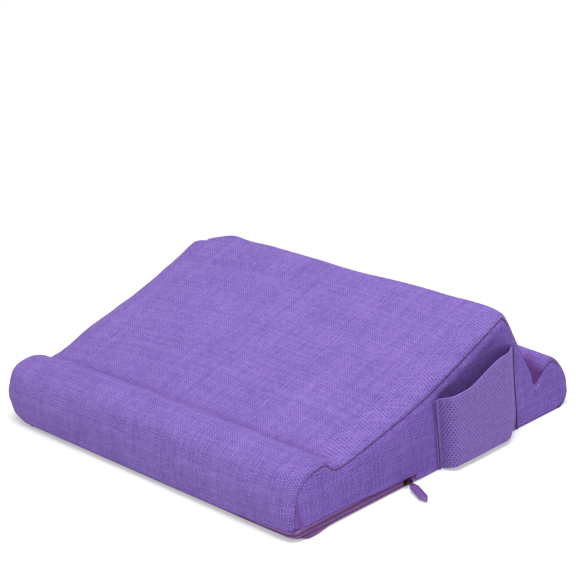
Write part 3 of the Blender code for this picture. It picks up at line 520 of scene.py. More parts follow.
def make_piece(name, points, faces, materials, slot_name, cloth=None, body=BODY, **numbers):
    """One piece of the model, riding on a body."""
    mesh = new_mesh(name, points, faces)
    for material in materials:
        mesh.materials.append(material)
    if cloth is not None:
        layer = mesh.attributes.new("cloth", "FLOAT_VECTOR", "POINT")
        layer.data.foreach_set("vector", np.asarray(cloth, dtype=np.float32).ravel())
    for key, values in numbers.items():
        layer = mesh.attributes.new(key, "FLOAT", "POINT")
        layer.data.foreach_set("value", np.asarray(values, dtype=np.float32).ravel())
    mesh.validate()
    mesh.update()
    mesh.shade_smooth()
    piece = place_object(name, mesh)
    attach(piece, body)
    return piece


def grid_normals(grid):
    normals = np.cross(np.gradient(grid, axis=1), np.gradient(grid, axis=0))
    return normals / np.maximum(np.linalg.norm(normals, axis=2, keepdims=True), 1e-12)


def running_length(points):
    steps = np.linalg.norm(np.diff(points, axis=0), axis=-1)
    return np.concatenate([np.zeros((1,) + steps.shape[1:]), np.cumsum(steps, axis=0)])


def without_repeats(points, gap):
    """The points of a line, without those that lie closer than a gap to the one before."""
    return points[np.concatenate([[True], np.linalg.norm(np.diff(points, axis=0), axis=1) > gap])]


def ripple(x, y, z, scale, seed):
    return noise.noise(Vector((x / scale + seed, y / scale - seed, z / scale)))


def tube_mesh(path, width, height, outward, sides=8):
    """Points, faces and cloth places of a tube with an oval section along an open path."""
    path = np.asarray(path, dtype=float)
    outward = np.broadcast_to(np.asarray(outward, dtype=float), path.shape)
    along = np.gradient(path, axis=0)
    along /= np.linalg.norm(along, axis=1, keepdims=True)
    across = np.cross(outward, along)
    across /= np.linalg.norm(across, axis=1, keepdims=True)
    up = np.cross(along, across)
    turn = 2 * math.pi * np.arange(sides) / sides
    wide = np.broadcast_to(width, len(path))[:, None, None] / 2
    high = np.broadcast_to(height, len(path))[:, None, None] / 2
    ring = across[:, None] * np.cos(turn)[:, None] * wide + up[:, None] * np.sin(turn)[:, None] * high
    points = path[:, None] + ring
    run = running_length(path)
    cloth = np.stack([np.repeat(run, sides), np.tile(turn * np.max(width) / 2, len(path)),
                      np.zeros(len(path) * sides)], axis=1)
    faces = []
    for row in range(len(path) - 1):
        for side in range(sides):
            after = (side + 1) % sides
            start, end = row * sides, (row + 1) * sides
            faces.append((start + side, start + after, end + after, end + side))
    faces.append(tuple(range(sides))[::-1])
    faces.append(tuple(range((len(path) - 1) * sides, len(path) * sides)))
    return points.reshape(-1, 3), faces, cloth


def joined(parts):
    """One mesh from several lots of points, faces and any numbers that go with the points."""
    faces, start = [], 0
    for points, part_faces, *rest in parts:
        faces += [tuple(i + start for i in face) for face in part_faces]
        start += len(points)
    points, _, *rest = zip(*parts)
    return [np.concatenate(points), faces] + [np.concatenate(numbers) for numbers in rest]


# Fabric panels


def top_rows():
    """Grid over the whole top of the cover, from the zip's upper edge to the rear base."""
    crown_keys, seam_keys = section_keys()
    crown, seam = smooth_curve(crown_keys, 9), smooth_curve(seam_keys, 9)
    arcs = fabric_arcs()
    quarter = EDGE_RADIUS * math.pi / 2
    rows = [front_edge_row(arcs + 0.0008, 0.0022), front_edge_row(arcs + 0.0002, 0.0013),
            front_edge_row(arcs - 0.0002, 0.0004), front_edge_row(arcs + 0.0003, -0.0003)]
    for share in np.linspace(0.08, 1.0, 6, endpoint=False):
        rows.append(front_edge_row(arcs + (quarter - arcs) * share, 0.0))
    for c, s in zip(crown, seam):
        rows.append(shoulder_points(c, s, shoulder_width(c, s)))
    width = shoulder_width(crown[-1], seam[-1])
    for angle in np.linspace(0, math.pi / 2, 9)[1:]:
        ends = []
        for end in (crown[-1], seam[-1]):
            ends.append((end[0] - REAR_RADIUS + REAR_RADIUS * math.cos(angle),
                         REAR_RADIUS - REAR_RADIUS * math.sin(angle)))
        rows.append(shoulder_points(*ends, width))
    return settled(rows)


def seam_distance(grid):
    """Distance of each point of a grid from the nearer of its two side edges, along its row."""
    steps = np.linalg.norm(np.diff(grid, axis=1), axis=2)
    run = np.concatenate([np.zeros((len(grid), 1)), np.cumsum(steps, axis=1)], axis=1)
    return np.minimum(run, run[:, -1:] - run), run


def on_roll(y):
    """1 on the front roll, 0 behind it."""
    return 1 - smooth_step((y - FRONT - 0.022) / 0.014)


def seam_show(y, z):
    """How plainly the side seam shows at one place: sunk in the roll and behind the wedge."""
    wedge_back = smooth_step((y - PEAK_Y - 0.001) / 0.003)
    wedge_back = wedge_back * (1 - smooth_step((y - NOTCH_Y - 0.003) / 0.006))
    rear = smooth_step((y - BAR_Y - 0.006) / 0.008)
    return (1 - 0.45 * on_roll(y)) * (1 - 0.85 * wedge_back) * (1 - 0.9 * rear)


def seam_pull(y):
    """How far the fabric draws in towards the side seam."""
    return 0.0004 + 0.0014 * on_roll(y)


class Settling:
    """Small shifts of the stuffed cover, from a cloth simulation of its closed shape under pressure."""

    def __init__(self, grid):
        self.tree = None
        blank = self.closed_shape(grid[::2])
        start = np.array([vertex.co for vertex in blank.data.vertices])
        self.hold(blank, grid, start)
        cloth = blank.modifiers.new("cloth", "CLOTH")
        for key, value in CLOTH_SETTINGS.items():
            setattr(cloth.settings, key, value)
        cloth.settings.effector_weights.gravity = 0.0
        cloth.settings.vertex_group_mass = "held"
        cloth.collision_settings.use_collision = False
        cloth.point_cache.frame_start, cloth.point_cache.frame_end = 1, SETTLING_FRAMES
        for frame_number in range(1, SETTLING_FRAMES + 1):
            bpy.context.scene.frame_set(frame_number)
        moved = np.array([vertex.co for vertex in evaluated(blank).to_mesh().vertices]) - start
        bpy.context.scene.frame_set(1)
        bpy.data.objects.remove(blank)
        size = np.maximum(np.linalg.norm(moved, axis=1, keepdims=True), 1e-9)
        self.moved = moved / size * SETTLING_CAP * np.tanh(size / SETTLING_CAP)
        self.tree = search_tree(start)

    def closed_shape(self, grid):
        """Cover without its details, closed by flat sides and a flat base, with even faces."""
        rows, columns = grid.shape[:2]
        last = (rows - 1) * columns
        faces = [tuple(face) for face in grid_faces(rows, columns)]
        faces.append(tuple(row * columns for row in range(rows)))
        faces.append(tuple(row * columns + columns - 1 for row in range(rows - 1, -1, -1)))
        faces += [(last + c, last + c + 1, c + 1, c) for c in range(columns - 1)]
        rough = place_object("rough", new_mesh("closed", grid.reshape(-1, 3), faces))
        remesh = rough.modifiers.new("remesh", "REMESH")
        remesh.mode, remesh.voxel_size = "VOXEL", SETTLING_VOXEL
        even = bpy.data.meshes.new_from_object(evaluated(rough))
        bpy.data.objects.remove(rough)
        return place_object("blank", even)

    def hold(self, blank, grid, places):
        """Hold the seams, the base, the zip and the part under the pocket."""
        tree = search_tree(np.concatenate([grid[:, 0], grid[:, -1]]))
        held = []
        for i, (x, y, z) in enumerate(places):
            near_zip = z < 0.018 and (y < FRONT + 0.012 or (x > SIDE - 0.004 and y < ZIP_END_Y + 0.01))
            under_pocket = x > SIDE - 0.004 and -0.006 < y < 0.104
            if z < 0.004 or near_zip or under_pocket or tree.find((x, y, z))[2] < 0.0045:
                held.append(i)
        blank.vertex_groups.new(name="held").add(held, 1.0, "REPLACE")

    def shift(self, point):
        if self.tree is None:
            return np.zeros(3)
        total, weight = np.zeros(3), 0.0
        for place, index, gap in self.tree.find_n(Vector(point), SETTLING_NEAR):
            share = bell(gap, SETTLING_BLUR)
            total += self.moved[index] * share
            weight += share
        return total / weight


def seam_groove(y, z, away):
    """Depth of the sewn groove at one distance from the side seam."""
    return -(SEAM_DEPTH + SEAM_DEPTH_MORE * seam_show(y, z)) * bell(away, SEAM_WIDTH)


def pucker(x, y, z, run, away, seed, height, reach):
    """Little gathers beside the side seam, at one place along it and away from it."""
    beat = math.sin(2 * math.pi * run / PUCKER_PITCH + 3.0 * ripple(x, y, z, 0.05, 5.0))
    size = 0.5 + 0.5 * ripple(x, y, z, 0.04, seed)
    return height * beat * size * math.exp(-away / reach) * (1 - math.exp(-away / PUCKER_START))


def dressed_top(grid, settling):
    """The top panel with its soft lumps, seam groove and puckers."""
    normals = grid_normals(grid)
    away, across = seam_distance(grid)
    along = running_length(grid)
    rows, columns = grid.shape[:2]
    push = np.zeros((rows, columns))
    for r in range(rows):
        for c in range(columns):
            x, y, z = grid[r, c]
            e, s = away[r, c], along[r, c]
            soft = 0.0011 * ripple(x, y, z, 0.085, 3.0) + 0.0005 * ripple(x, y, z, 0.032, 9.0)
            if x < -0.10 and -0.10 < y < 0.08:
                lump = 0.0024 * ripple(x * 0.4, y, z, 0.026, 21.0) + 0.0006
                soft += lump * smooth_step((-0.10 - x) / 0.06)
            edge_y, edge_z = grid[r, 0 if x < 0 else -1, 1:]
            push[r, c] = (soft * smooth_step(e / 0.02) + pucker(x, y, z, s, e, 13.0, 0.00045, 0.009)
                          + seam_groove(edge_y, edge_z, e) - seam_pull(edge_y) * bell(e, 0.006))
    push[:4] *= 0.2
    push[-6:] *= np.linspace(0.8, 0.0, 6)[:, None]
    dressed = grid + normals * push[..., None]
    shifts = np.array([[settling.shift(point) for point in row] for row in grid])
    shifts *= smooth_step(away / 0.012)[..., None]
    shifts[:12] *= 0.0
    dressed += shifts
    dressed[..., 2] = np.maximum(dressed[..., 2], 0.0002)
    return dressed, np.stack([across - across[:, -1:] / 2, along, np.zeros_like(along)], axis=2)


def flap_height(y):
    """Height of the side panel's lower edge, which comes down over the zip towards the slider."""
    return ZIP_SIDE_Z + ABOVE_ZIP - 0.0034 * smooth_step((y + 0.125) / 0.075)


def side_panel_mesh(edge, sign, lower, settling):
    """Flat panel inside an edge in (y, z), meshed evenly and puckered near its seam."""
    outline = [tuple(p) for p in edge] + lower
    count = len(outline)
    low = np.min(outline, axis=0)
    high = np.max(outline, axis=0)
    step = 0.0030
    inner = []
    border = np.array(outline)
    for i, y in enumerate(np.arange(low[0] + step, high[0], step * 0.87)):
        for z in np.arange(low[1] + step * (0.75 if i % 2 else 0.25), high[1], step):
            if np.min(np.hypot(border[:, 0] - y, border[:, 1] - z)) > step * 0.62:
                inner.append((y, z))
    points = [Vector(p) for p in outline + inner]
    edges = [(i, (i + 1) % count) for i in range(count)]
    made = delaunay_2d_cdt(points, edges, [], 1, 1e-6)
    flat = np.array([(p.x, p.y) for p in made[0]])
    seam = np.array(edge)
    seam_run = running_length(seam)
    push, flank = np.zeros(len(flat)), np.zeros(len(flat))
    for i, (y, z) in enumerate(flat):
        gaps = np.hypot(seam[:, 0] - y, seam[:, 1] - z)
        near = int(np.argmin(gaps))
        e, s = gaps[near], seam_run[near]
        seam_y, seam_z = seam[near]
        band = 0.0010 * bell(e - 0.0055, 0.003) * seam_show(seam_y, seam_z)
        groove = seam_groove(seam_y, seam_z, e) - seam_pull(seam_y) * bell(e, 0.009)
        gathers = pucker(sign * SIDE, y, z, s, e, 17.0, 0.0004, 0.008)
        soft = 0.0010 * ripple(sign * SIDE, y, z, 0.070, 31.0) + 0.0004 * ripple(0.0, y, z, 0.030, 37.0)
        crease = side_creases(y, z) if sign > 0 else 0.0
        soft += sign * settling.shift((sign * SIDE, y, z))[0]
        push[i] = (soft + crease) * smooth_step(e / 0.015) + gathers + band + groove
        if sign > 0 and y < ZIP_END_Y + 0.010:
            near_zip = bell(z - flap_height(y), 0.006)
            push[i] += (0.0006 - push[i]) * near_zip * smooth_step(e / 0.006)
        # Painted side shade: the side's darker colours, eased towards the top's near the roll's seam
        flank[i] = 1 - 0.45 * on_roll(seam_y) * math.exp(-e / 0.010)
    x = sign * (SIDE + push)
    points = np.stack([x, flat[:, 0], flat[:, 1]], axis=1)
    faces = [face if sign > 0 else face[::-1] for face in made[2]]
    cloth = np.stack([flat[:, 0], flat[:, 1], np.zeros(len(flat))], axis=1)
    return points, faces, cloth, flank


def fold_dent(y, z, start, end, width):
    """Share of a shallow crease along one line of the right side."""
    start, end = np.array(start), np.array(end)
    run = end - start
    share = np.clip(np.dot(np.array([y, z]) - start, run) / np.dot(run, run), 0, 1)
    away = np.linalg.norm(np.array([y, z]) - start - share * run)
    return bell(away, width) * math.sin(math.pi * (0.15 + 0.7 * share))


def side_creases(y, z):
    """Creases of the right side: in the roll's end, under the notch and across the bar."""
    return sum(height * fold_dent(y, z, *fold) for height, *fold in SIDE_FOLDS)


def groove_shade(points):
    """How much each point of the top panel lies in the groove behind the wedge or behind the roll."""
    x, y, z = points.T
    valley = 0.22 * bell(y - FRONT - 0.0515, 0.006)
    rim = 0.0430 + 0.25 * np.clip(SIDE - np.abs(x), 0, 0.02)
    near = smooth_step((y - NOTCH_Y + 0.010) / 0.006) * (1 - smooth_step((y - BAR_Y + 0.002) / 0.006))
    return np.maximum(valley, 0.9 * near * smooth_step((rim - z) / 0.008 + 0.5))


def base_mesh(grid):
    """Flat underside, with the strip that curls up behind the zip."""
    rows = [front_edge_row(front_arcs() * share + 0.0006, 0.0016) for share in (1.5, 1.1, 0.7, 0.35, 0.0)]
    rows = list(settled(rows))
    start, end = rows[-1].copy(), grid[-1].copy()
    for share in np.linspace(0, 1, 24)[1:]:
        row = start * (1 - share) + end * share
        row[:, 2] = 0.0
        rows.append(row)
    return np.array(rows)


def zip_side_outline():
    """Lower edge of the right side panel, from behind the zip's end to the front."""
    ys = np.linspace(ZIP_END_Y, SIDE_START_Y, 40)
    return ([(ZIP_END_Y + 0.008, 0.0002), (ZIP_END_Y + 0.004, 0.0006)]
            + [(y, float(flap_height(y))) for y in ys])


def turned_edge():
    """Turned edge of the side panel above the zip, with painted shade on its lower half."""
    ys = np.linspace(SIDE_START_Y - 0.002, ZIP_END_Y + 0.001, 70)
    path = np.stack([np.full(70, SIDE + 0.0001), ys, flap_height(ys) + 0.0004], axis=1)
    points, faces, cloth = tube_mesh(path, 0.0014, 0.0014, (1.0, 0.0, 0.0), 8)
    # Painted shade under the turned edge
    shade = np.where(points[:, 2] < np.repeat(path[:, 2], 8) + 0.0001, 1.0, 0.15)
    return points, faces, cloth, np.ones(len(points)), shade


def build_cushion(linen):
    """The stuffed cover: its long top panel, both sides and the base."""
    grid = top_rows()
    settling = Settling(grid)
    dressed, cloth = dressed_top(grid, settling)
    edge_y = np.where(grid[..., 0] < 0, grid[:, :1, 1], grid[:, -1:, 1])
    # Painted side shade reaches a little onto the top panel beside the roll's seams
    flank = 0.55 * on_roll(edge_y) * np.exp(-seam_distance(grid)[0] / 0.012)
    shade = groove_shade(dressed.reshape(-1, 3)).reshape(flank.shape)
    # Painted shade on the rows turned in above the zip, under the fabric's edge
    shade[:4] = np.array([1.0, 1.0, 0.9, 0.5])[:, None]
    parts = [(dressed.reshape(-1, 3), grid_faces(*flank.shape), cloth.reshape(-1, 3), flank.ravel(),
              shade.ravel())]
    for sign, column in ((1, -1), (-1, 0)):
        edge = without_repeats(dressed[3:, column, 1:], 2e-5)
        side = side_panel_mesh(edge, sign, zip_side_outline() if sign > 0 else [], settling)
        places = side[0][:, 1:]
        # Painted shade in the hollow of the roll's right end
        painted_hollow_shade = [ROLL_HOLLOW_SHADE * fold_dent(y, z, *ROLL_HOLLOW) for y, z in places]
        parts.append((*side, np.array(painted_hollow_shade) * (sign > 0)))
    base = base_mesh(grid)
    flat = base.reshape(-1, 3)
    parts.append((flat, grid_faces(*base.shape[:2]), flat * (1, 1, 0), np.ones(len(flat)),
                  np.zeros(len(flat))))
    parts.append(turned_edge())
    points, faces, cloth, flank, shade = joined(parts)
    # The crease attribute carries painted shade in grooves, hollows and under the edge above the zip
    piece = make_piece("stand_cushion", points, faces, [linen], "linen", cloth, flank=flank, crease=shade)
    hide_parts("foam_core", "top_panel", "side_panel_left", "side_panel_right", "base_panel")
    return dressed


def build_seam_thread_shade(dressed, thread):
    """Dark thread line at the bottom of each side seam, which also stands for the painted shade of the
    seam's groove.
    """
    for name, column, sign in (("seam_thread_shade_right", -1, 1), ("seam_thread_shade_left", 0, -1)):
        edge = without_repeats(dressed[4:, column], 2e-4)
        show = 0.15 + 0.85 * seam_show(edge[:, 1], edge[:, 2])
        edge[:, 0] += sign * (0.0001 - 0.0006 * (1 - show))
        points, faces, cloth = tube_mesh(edge, 0.0011 * show, 0.0008 * show, (sign, 0.0, 0.0), 6)
        make_piece(name, points, faces, [thread], "linen", cloth)


def build_notch_stitches(thread):
    """Two small bowed stitches on the side, under the groove behind the wedge."""
    parts = []
    for height, shift in ((0.0322, 0.0), (0.0300, 0.0004)):
        share = np.linspace(0, 1, 14)
        path = np.stack([SIDE + 0.0006 + 0.0005 * np.sin(math.pi * share), 0.1215 + shift + 0.0075 * share,
                         height - 0.0013 * np.sin(math.pi * share)], axis=1)
        parts.append(tube_mesh(path, 0.0009, 0.0009, (1.0, 0.0, 0.0), 6))
    points, faces, cloth = joined(parts)
    make_piece("notch_stitches", points, faces, [thread], "linen", cloth)


# Zip


ZIP_STATIONS = np.concatenate([np.linspace(-2, -1, 8, endpoint=False), np.linspace(-1, 1, 90),
                               1 + np.linspace(0, 1, 17)[1:]])


def zip_row(offset, depth, arcs_from_base=False):
    """Points of a line along the zip, at a distance above the teeth and a depth."""
    arcs = front_arcs(ZIP_STATIONS)
    arcs = np.full(len(arcs), offset) if arcs_from_base else arcs + offset
    front = front_edge_row(arcs, depth, ZIP_STATIONS)
    height = offset if arcs_from_base else ZIP_SIDE_Z + offset
    ys = np.linspace(SIDE_START_Y, ZIP_END_Y, 60)[1:]
    side = np.stack([np.full(len(ys), SIDE - depth), ys, np.full(len(ys), height)], axis=1)
    return settled(np.concatenate([front, side]))


def build_tape(name, rows, node, material):
    """Strip through rows given as (offset, depth, from the base)."""
    grid = np.array([zip_row(*row) for row in rows])
    if rows[0][2]:
        # The strip under the zip flares out at the right front corner
        corner = smooth_step((grid[..., 0] - SIDE + 0.03) / 0.025)
        flare = bell(grid[..., 1] - FLARE_Y, FLARE_LENGTH) * corner
        for row, share in enumerate((0.5, 1.0, 0.10)):
            grid[row, :, 0] += FLARE * share * flare[row]
    grid[..., 2] = np.maximum(grid[..., 2], 0.0003)
    run = running_length(grid[len(rows) // 2])
    side = running_length(grid)
    cloth = np.stack([np.broadcast_to(run, side.shape), side, np.zeros_like(side)], axis=2)
    piece = make_piece(name, grid.reshape(-1, 3), grid_faces(*grid.shape[:2]), [material], "tape",
                       cloth.reshape(-1, 3))
    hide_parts(node)
    return piece


def build_zip(tape, coil_material, dark_thread):
    edge = TAPE_GAP + TAPE_WIDTH + 0.0006
    build_tape("zip_upper_tape", [(0.0004, 0.0010, False), (0.0006, 0.0004, False), (0.0012, 0.0004, False),
                                  (0.0030, 0.0004, False), (edge, 0.0007, False)], "zip_tape_upper", tape)
    build_tape("zip_lower_tape", [(0.0002, 0.0009, True), (0.0006, 0.0004, True), (-0.0030, 0.0004, False),
                                  (-0.0012, 0.0004, False), (-0.0006, 0.0004, False),
                                  (-0.0004, 0.0010, False)], "zip_tape_lower", tape)
    line = zip_row(0.0, 0.0)
    outward = line - zip_row(0.0, 0.001)
    start = int(np.argmax(line[:, 0] > ZIP_START_X + COIL_MARGIN))
    run = running_length(line[start:])
    count = int((run[-1] - COIL_MARGIN) / COIL_PITCH)
    places = np.linspace(0, run[-1] - COIL_MARGIN, count * COIL_SIDES)
    middle = np.stack([np.interp(places, run, line[start:, k]) for k in range(3)], axis=1)
    out = np.stack([np.interp(places, run, outward[start:, k]) for k in range(3)], axis=1)
    out /= np.linalg.norm(out, axis=1, keepdims=True)
    across = np.cross(out, np.gradient(middle, axis=0))
    across /= np.linalg.norm(across, axis=1, keepdims=True)
    parts = []
    for side in (1, -1):
        turn = side * (2 * math.pi * np.arange(len(places)) / COIL_SIDES + (0.0 if side > 0 else math.pi))
        loop = (middle + across * (side * 0.00030 + 0.00078 * np.cos(turn))[:, None]
                + out * (0.00010 + 0.00040 * np.sin(turn))[:, None])
        parts.append(tube_mesh(loop, 0.00044, 0.00044, out, 4))
    points, faces, cloth = joined(parts)
    coil = make_piece("zip_coil", points, faces, [coil_material], "teeth", cloth)
    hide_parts("zip_teeth")
    # Stitched lines that hold the tapes, one on each side of the coil
    lines = [tube_mesh(zip_row(offset, -0.0001)[12:-4], 0.0006, 0.0005, outward[12:-4], 6)
             for offset in (0.0021, -0.0021)]
    points, faces, cloth = joined(lines)
    make_piece("zip_stitching", points, faces, [dark_thread], "tape", cloth)


def build_end_patch(linen):
    """Folded scrap of fabric over the rear end of the zip, its edges tucked into the side."""
    low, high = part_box("zip_end_fold")
    around, up = np.linspace(-1, 1, 25), np.linspace(-1, 1, 17)
    rows = []
    for v in up:
        row = []
        for u in around:
            rise = (1 - u ** 4) * (1 - v ** 4)
            fold = 0.00025 * math.cos(3.2 * u + 1.1 * v)
            x = SIDE - 0.0006 + 0.0016 * rise + fold * rise
            row.append((x, (low.y + high.y) / 2 + u * (high.y - low.y) / 2,
                        low.z + (0.5 + v / 2) * (high.z - low.z - 0.0012)))
        rows.append(row)
    grid = np.array(rows)
    cloth = np.stack([grid[..., 1], grid[..., 2], np.zeros(grid.shape[:2])], axis=2)
    piece = make_piece("zip_end_patch", grid.reshape(-1, 3), grid_faces(*grid.shape[:2]), [linen], "linen",
                       cloth.reshape(-1, 3), flank=np.ones(grid.size // 3))
    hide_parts("zip_end_fold")


def build_pull_tab(rubber):
    """Moulded tab with two slanted faces on each side, pointed ends and a round eye."""
    half, rim, crown = 0.0040, 0.0006, 0.0022
    root, tip = TAB_ROOT, TAB_TIP
    outline = [(root, -0.0020), (root + 0.005, -half), (tip - 0.006, -half), (tip, -0.0006), (tip, 0.0006),
               (tip - 0.006, half), (root + 0.005, half), (root, 0.0020)]
    ends = [(root + 0.0045, 0.0), (tip - 0.0045, 0.0)]
    points = [(x, y, -rim) for x, y in outline] + [(x, y, rim) for x, y in outline]
    points += [(x, y, -crown) for x, y in ends] + [(x, y, crown) for x, y in ends]
    faces = []
    for side, top, first, second in ((0, False, 16, 17), (8, True, 18, 19)):
        lot = [(0, 1, first), (1, 2, second, first), (2, 3, second), (3, 4, second), (4, 5, second),
               (5, 6, first, second), (6, 7, first), (7, 0, first)]
        for face in lot:
            face = tuple(i + side if i < 8 else i for i in face)
            faces.append(face if top else face[::-1])
    for i in range(8):
        after = (i + 1) % 8
        faces.append((i, after, after + 8, i + 8))
    blank = place_object("tab_blank", new_mesh("tab", points, faces))
    rounding = blank.modifiers.new("rounding", "BEVEL")
    rounding.width, rounding.segments = 0.00018, 2
    rounding.limit_method = "NONE"
    bpy.ops.mesh.primitive_cylinder_add(vertices=32, radius=0.0014, depth=0.006)
    cutter = bpy.context.object
    hole = blank.modifiers.new("eye", "BOOLEAN")
    hole.operation, hole.solver, hole.object = "DIFFERENCE", "EXACT", cutter
    bpy.context.view_layer.update()
    shaped = bpy.data.meshes.new_from_object(evaluated(blank))
    bpy.data.objects.remove(blank)
    bpy.data.objects.remove(cutter)
    shaped.materials.clear()
    shaped.materials.append(rubber)
    shaped.transform(Matrix.Translation(TAB_PLACE) @ Euler(TAB_TURN).to_matrix().to_4x4())
    shaped.shade_smooth()
    shaped.set_sharp_from_angle(angle=math.radians(16))
    piece = place_object("pull_tab_moulded", shaped)
    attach(piece, "pull_tab")
    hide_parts("zip_pull_tab")


def repaint(node, material):
    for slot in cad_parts[node].material_slots:
        slot.material = material


# Mesh pocket


def pocket_top(y):
    start, end = POCKET_FRONT + 0.020, POCKET_REAR - 0.024
    rise = POCKET_TOP_REAR - POCKET_TOP_FRONT
    return POCKET_TOP_FRONT + rise * smooth_step((y - start) / (end - start))


def pocket_grid(inset):
    """Face of the pocket, inset from its outside, as rows that climb from its base to its mouth."""
    turn = np.linspace(0, math.pi / 2, 15)
    front = POCKET_FRONT + inset + (POCKET_FRONT_ROUND - inset) * (1 - np.cos(turn))
    run = np.linspace(1, 0, 30)
    rear = POCKET_SLOPE_END - inset - (POCKET_SLOPE - inset) * run
    flat = np.linspace(front[-1], rear[0], 36)[1:-1]
    ys = np.concatenate([[POCKET_FRONT - POCKET_SEAM], front, flat, rear, [POCKET_SLOPE_END + 0.0030]])
    shares = np.concatenate([[0], np.sin(turn), np.ones(len(flat)), np.sin(run * math.pi / 2), [0]])
    turn = np.linspace(0, math.pi / 2, 9)
    heights = POCKET_BASE + inset + (POCKET_BASE_ROUND - inset) * (1 - np.cos(turn))
    back = smooth_step((ys - POCKET_FRONT - 0.040) / (POCKET_SLOPE_END - POCKET_FRONT - 0.040))
    rows = [np.stack([POCKET_BULGE * shares * closing, ys, np.full(len(ys), height)], axis=1)
            for height, closing in zip(heights, np.sin(turn))]
    for share in np.linspace(0, 1, 37)[1:]:
        top = pocket_top(ys) - 0.004 * (1 - shares)
        rows.append(np.stack([POCKET_BULGE * shares, ys, heights[-1] + (top - heights[-1]) * share], axis=1))
    grid = np.array(rows)
    # The lower rear corner draws in, and the fabric is not quite flat
    low = 1 - smooth_step(grid[..., 2] / 0.022)
    grid[..., 1] -= 0.0045 * low * back
    soft = np.array([[ripple(1.0, y, z, 0.030, 51.0) for x, y, z in row] for row in grid])
    grid[..., 0] += SIDE + GAP + MESH - inset + 0.0006 * soft * grid[..., 0] / POCKET_BULGE
    return grid


def build_pocket(mesh_fabric, thread):
    """Bulging pocket of perforated fabric, its turned mouth and the two sewn edges."""
    outer, inner = pocket_grid(0.0), pocket_grid(0.0009)
    rows, columns = outer.shape[:2]
    count = rows * columns
    faces = [tuple(f) for f in grid_faces(rows, columns)]
    faces += [tuple(f) for f in grid_faces(rows, columns, start=count, flip=True)]
    rim = [(0, c) for c in range(columns)] + [(r, columns - 1) for r in range(1, rows)]
    rim += [(rows - 1, c) for c in range(columns - 2, -1, -1)] + [(r, 0) for r in range(rows - 2, 0, -1)]
    rim = [r * columns + c for r, c in rim]
    for first, second in zip(rim, rim[1:] + rim[:1]):
        faces.append((second, first, first + count, second + count))
    across = running_length(outer[rows // 2])
    up = running_length(outer)
    level = up - up[8] + outer[8, :, 2]
    cloth = np.stack([np.broadcast_to(across, up.shape), level, np.zeros_like(up)], axis=2)
    holes = smooth_step((across[-1] - across - 0.016) / 0.006) * smooth_step((across - 0.0042) / 0.0006)
    holes = holes * smooth_step((up[-1] - up - 0.0020) / 0.0006)
    holes = holes * (0.75 - 0.15 * smooth_step((across - 0.014) / 0.016))
    points = np.concatenate([outer.reshape(-1, 3), inner.reshape(-1, 3)])
    piece = make_piece("side_pocket", points, faces, [mesh_fabric], "mesh",
                       np.tile(cloth.reshape(-1, 3), (2, 1)), holes=np.tile(holes.ravel(), 2))
    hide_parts("pocket_mesh")
    mouth = (outer[-1, 1:-1] + inner[-1, 1:-1]) / 2
    mouth[:, 2] += 0.0001
    points, faces, places = tube_mesh(mouth, 0.0016, 0.0016, (0.0, 0.0, 1.0), 10)
    hem = make_piece("pocket_mouth_edge", points, faces, [mesh_fabric], "mesh", places)
    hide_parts("pocket_hem")
    for name, y, node, top in (("pocket_seam_front", -0.0014, "pocket_binding_front", 0.0635),
                               ("pocket_seam_rear", 0.0970, "pocket_binding_rear", 0.0785)):
        heights = np.linspace(0.0008, top, 60)
        path = np.stack([np.full(60, SIDE + 0.0015), y + 0.0004 * np.sin(heights * 90), heights], axis=1)
        points, faces, places = tube_mesh(path, 0.0013, 0.0012, (1.0, 0.0, 0.0), 8)
        seam = make_piece(name, points, faces, [thread], "mesh", places)
        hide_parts(node)


# Floor, lamps and camera


def build_stage():
    """White floor that keeps the shadow near the object and turns into the white background."""
    n = material_nodes("white_floor")
    path = n.node("ShaderNodeLightPath")
    seen = n.add(path.outputs["Is Camera Ray"],
                  n.add(path.outputs["Is Glossy Ray"], path.outputs["Is Transmission Ray"]))
    place = n.node("ShaderNodeTexCoord").outputs["Object"]
    away = n.node("ShaderNodeVectorMath", {0: place}, operation="LENGTH").outputs["Value"]
    share = n.multiply(n.math("MINIMUM", seen, 1.0), n.ramp(away, 0.24, 0.46, 0.40, 1.0))
    glow = n.node("ShaderNodeEmission", {"Color": WHITE, "Strength": 1.0}).outputs[0]
    n.surface({"Base Color": (0.93, 0.93, 0.93, 1), "Roughness": 0.9, "Specular IOR Level": 0.0})
    both = n.node("ShaderNodeMixShader", {0: share, 1: n.shader.outputs[0], 2: glow}).outputs[0]
    n.put(n.tree.nodes["Material Output"].inputs["Surface"], both)
    corners = [(x * FLOOR_HALF, y * FLOOR_HALF, FLOOR_Z) for x, y in ((-1, -1), (1, -1), (1, 1), (-1, 1))]
    mesh = new_mesh("floor", corners, [(0, 1, 2, 3)])
    mesh.materials.append(n.owner)
    place_object("floor", mesh)
    world = bpy.data.worlds.new("studio")
    w = Nodes(world)
    rays = w.node("ShaderNodeLightPath").outputs
    seen = w.node("ShaderNodeMath", {0: rays["Is Camera Ray"], 1: rays["Is Transmission Ray"]},
                  operation="ADD", use_clamp=True).outputs[0]
    light = w.tree.nodes["Background"]
    w.put(light.inputs["Color"], WHITE)
    w.put(light.inputs["Strength"], WORLD_LIGHT)
    white = w.node("ShaderNodeBackground", {"Color": WHITE}).outputs[0]
    mix = w.node("ShaderNodeMixShader", {0: seen, 1: light.outputs[0], 2: white}).outputs[0]
    w.put(w.tree.nodes["World Output"].inputs["Surface"], mix)
    bpy.context.scene.world = world


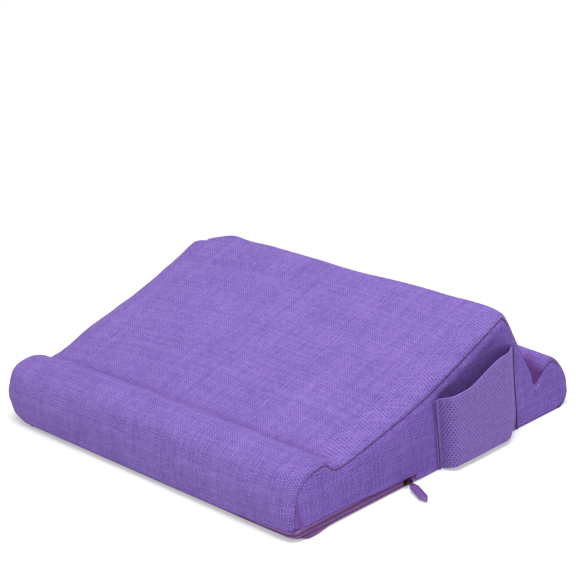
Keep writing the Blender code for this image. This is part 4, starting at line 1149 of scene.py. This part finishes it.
def add_lamp(name, place, power):
    light = bpy.data.lights.new(name, "AREA")
    light.size = LAMP_SIZE
    light.energy = power
    lamp = place_object(name, light)
    lamp.location = place
    lamp.rotation_euler = (Vector(LAMP_TARGET) - Vector(place)).to_track_quat("-Z", "Y").to_euler()


def build_camera():
    camera = place_object("camera", bpy.data.cameras.new("camera"))
    camera.data.sensor_width = 36.0
    camera.data.lens = CAMERA_LENS
    right, down, forward = Vector(CAMERA_RIGHT), Vector(CAMERA_DOWN), Vector(CAMERA_FORWARD)
    turn = Matrix((right, -down, -forward)).transposed().to_4x4()
    camera.matrix_world = Matrix.Translation(CAMERA_PLACE) @ turn
    bpy.context.scene.camera = camera


# Linen: the second lot of colours is a darker copy of the top's, painted shade on the sides; the last colour
# is the painted shade of grooves, hollows and the edge above the zip
linen = woven_material("linen",
                       (colour("#A88CDA"), colour("#6E54A8"), colour("#46307C")),
                       (colour("#9C7CD0"), colour("#684AA0"), colour("#42307A")), colour("#54286C"))
tape = tape_material("zip_tape", colour("#A06CB2"), colour("#80529A"))
coil_material = moulded_material("zip_coil", colour("#9866B0"), colour("#A676BC"), 0.4)
dark_thread = thread_material("seam_thread", colour("#55306C"), colour("#3A1E50"))
pale_thread = thread_material("stitch_thread", colour("#9E84CC"), colour("#7C5FB0"))
mesh_fabric = perforated_material("pocket_fabric", colour("#7F65AF"), colour("#745AA3"), colour("#341E54"))
metal = moulded_material("slider_metal", colour("#4A3040"), colour("#7E6274"), 0.38, metallic=1.0)
rubber = moulded_material("tab_rubber", colour("#684488"), colour("#5C3A7A"), 0.5)

edge_grid = build_cushion(linen)
build_seam_thread_shade(edge_grid, dark_thread)
build_notch_stitches(pale_thread)
build_zip(tape, coil_material, dark_thread)
build_end_patch(linen)
build_pull_tab(rubber)
build_pocket(mesh_fabric, dark_thread)
for node, material in (("zip_stop_left", metal), ("zip_stop_rear", rubber), ("zip_slider", metal),
                       ("zip_pull_ring", metal)):
    repaint(node, material)

build_stage()
add_lamp("key", KEY_LAMP, KEY_POWER)
add_lamp("side", SIDE_LAMP, SIDE_POWER)
build_camera()
bpy.context.scene.view_settings.view_transform = "Standard"
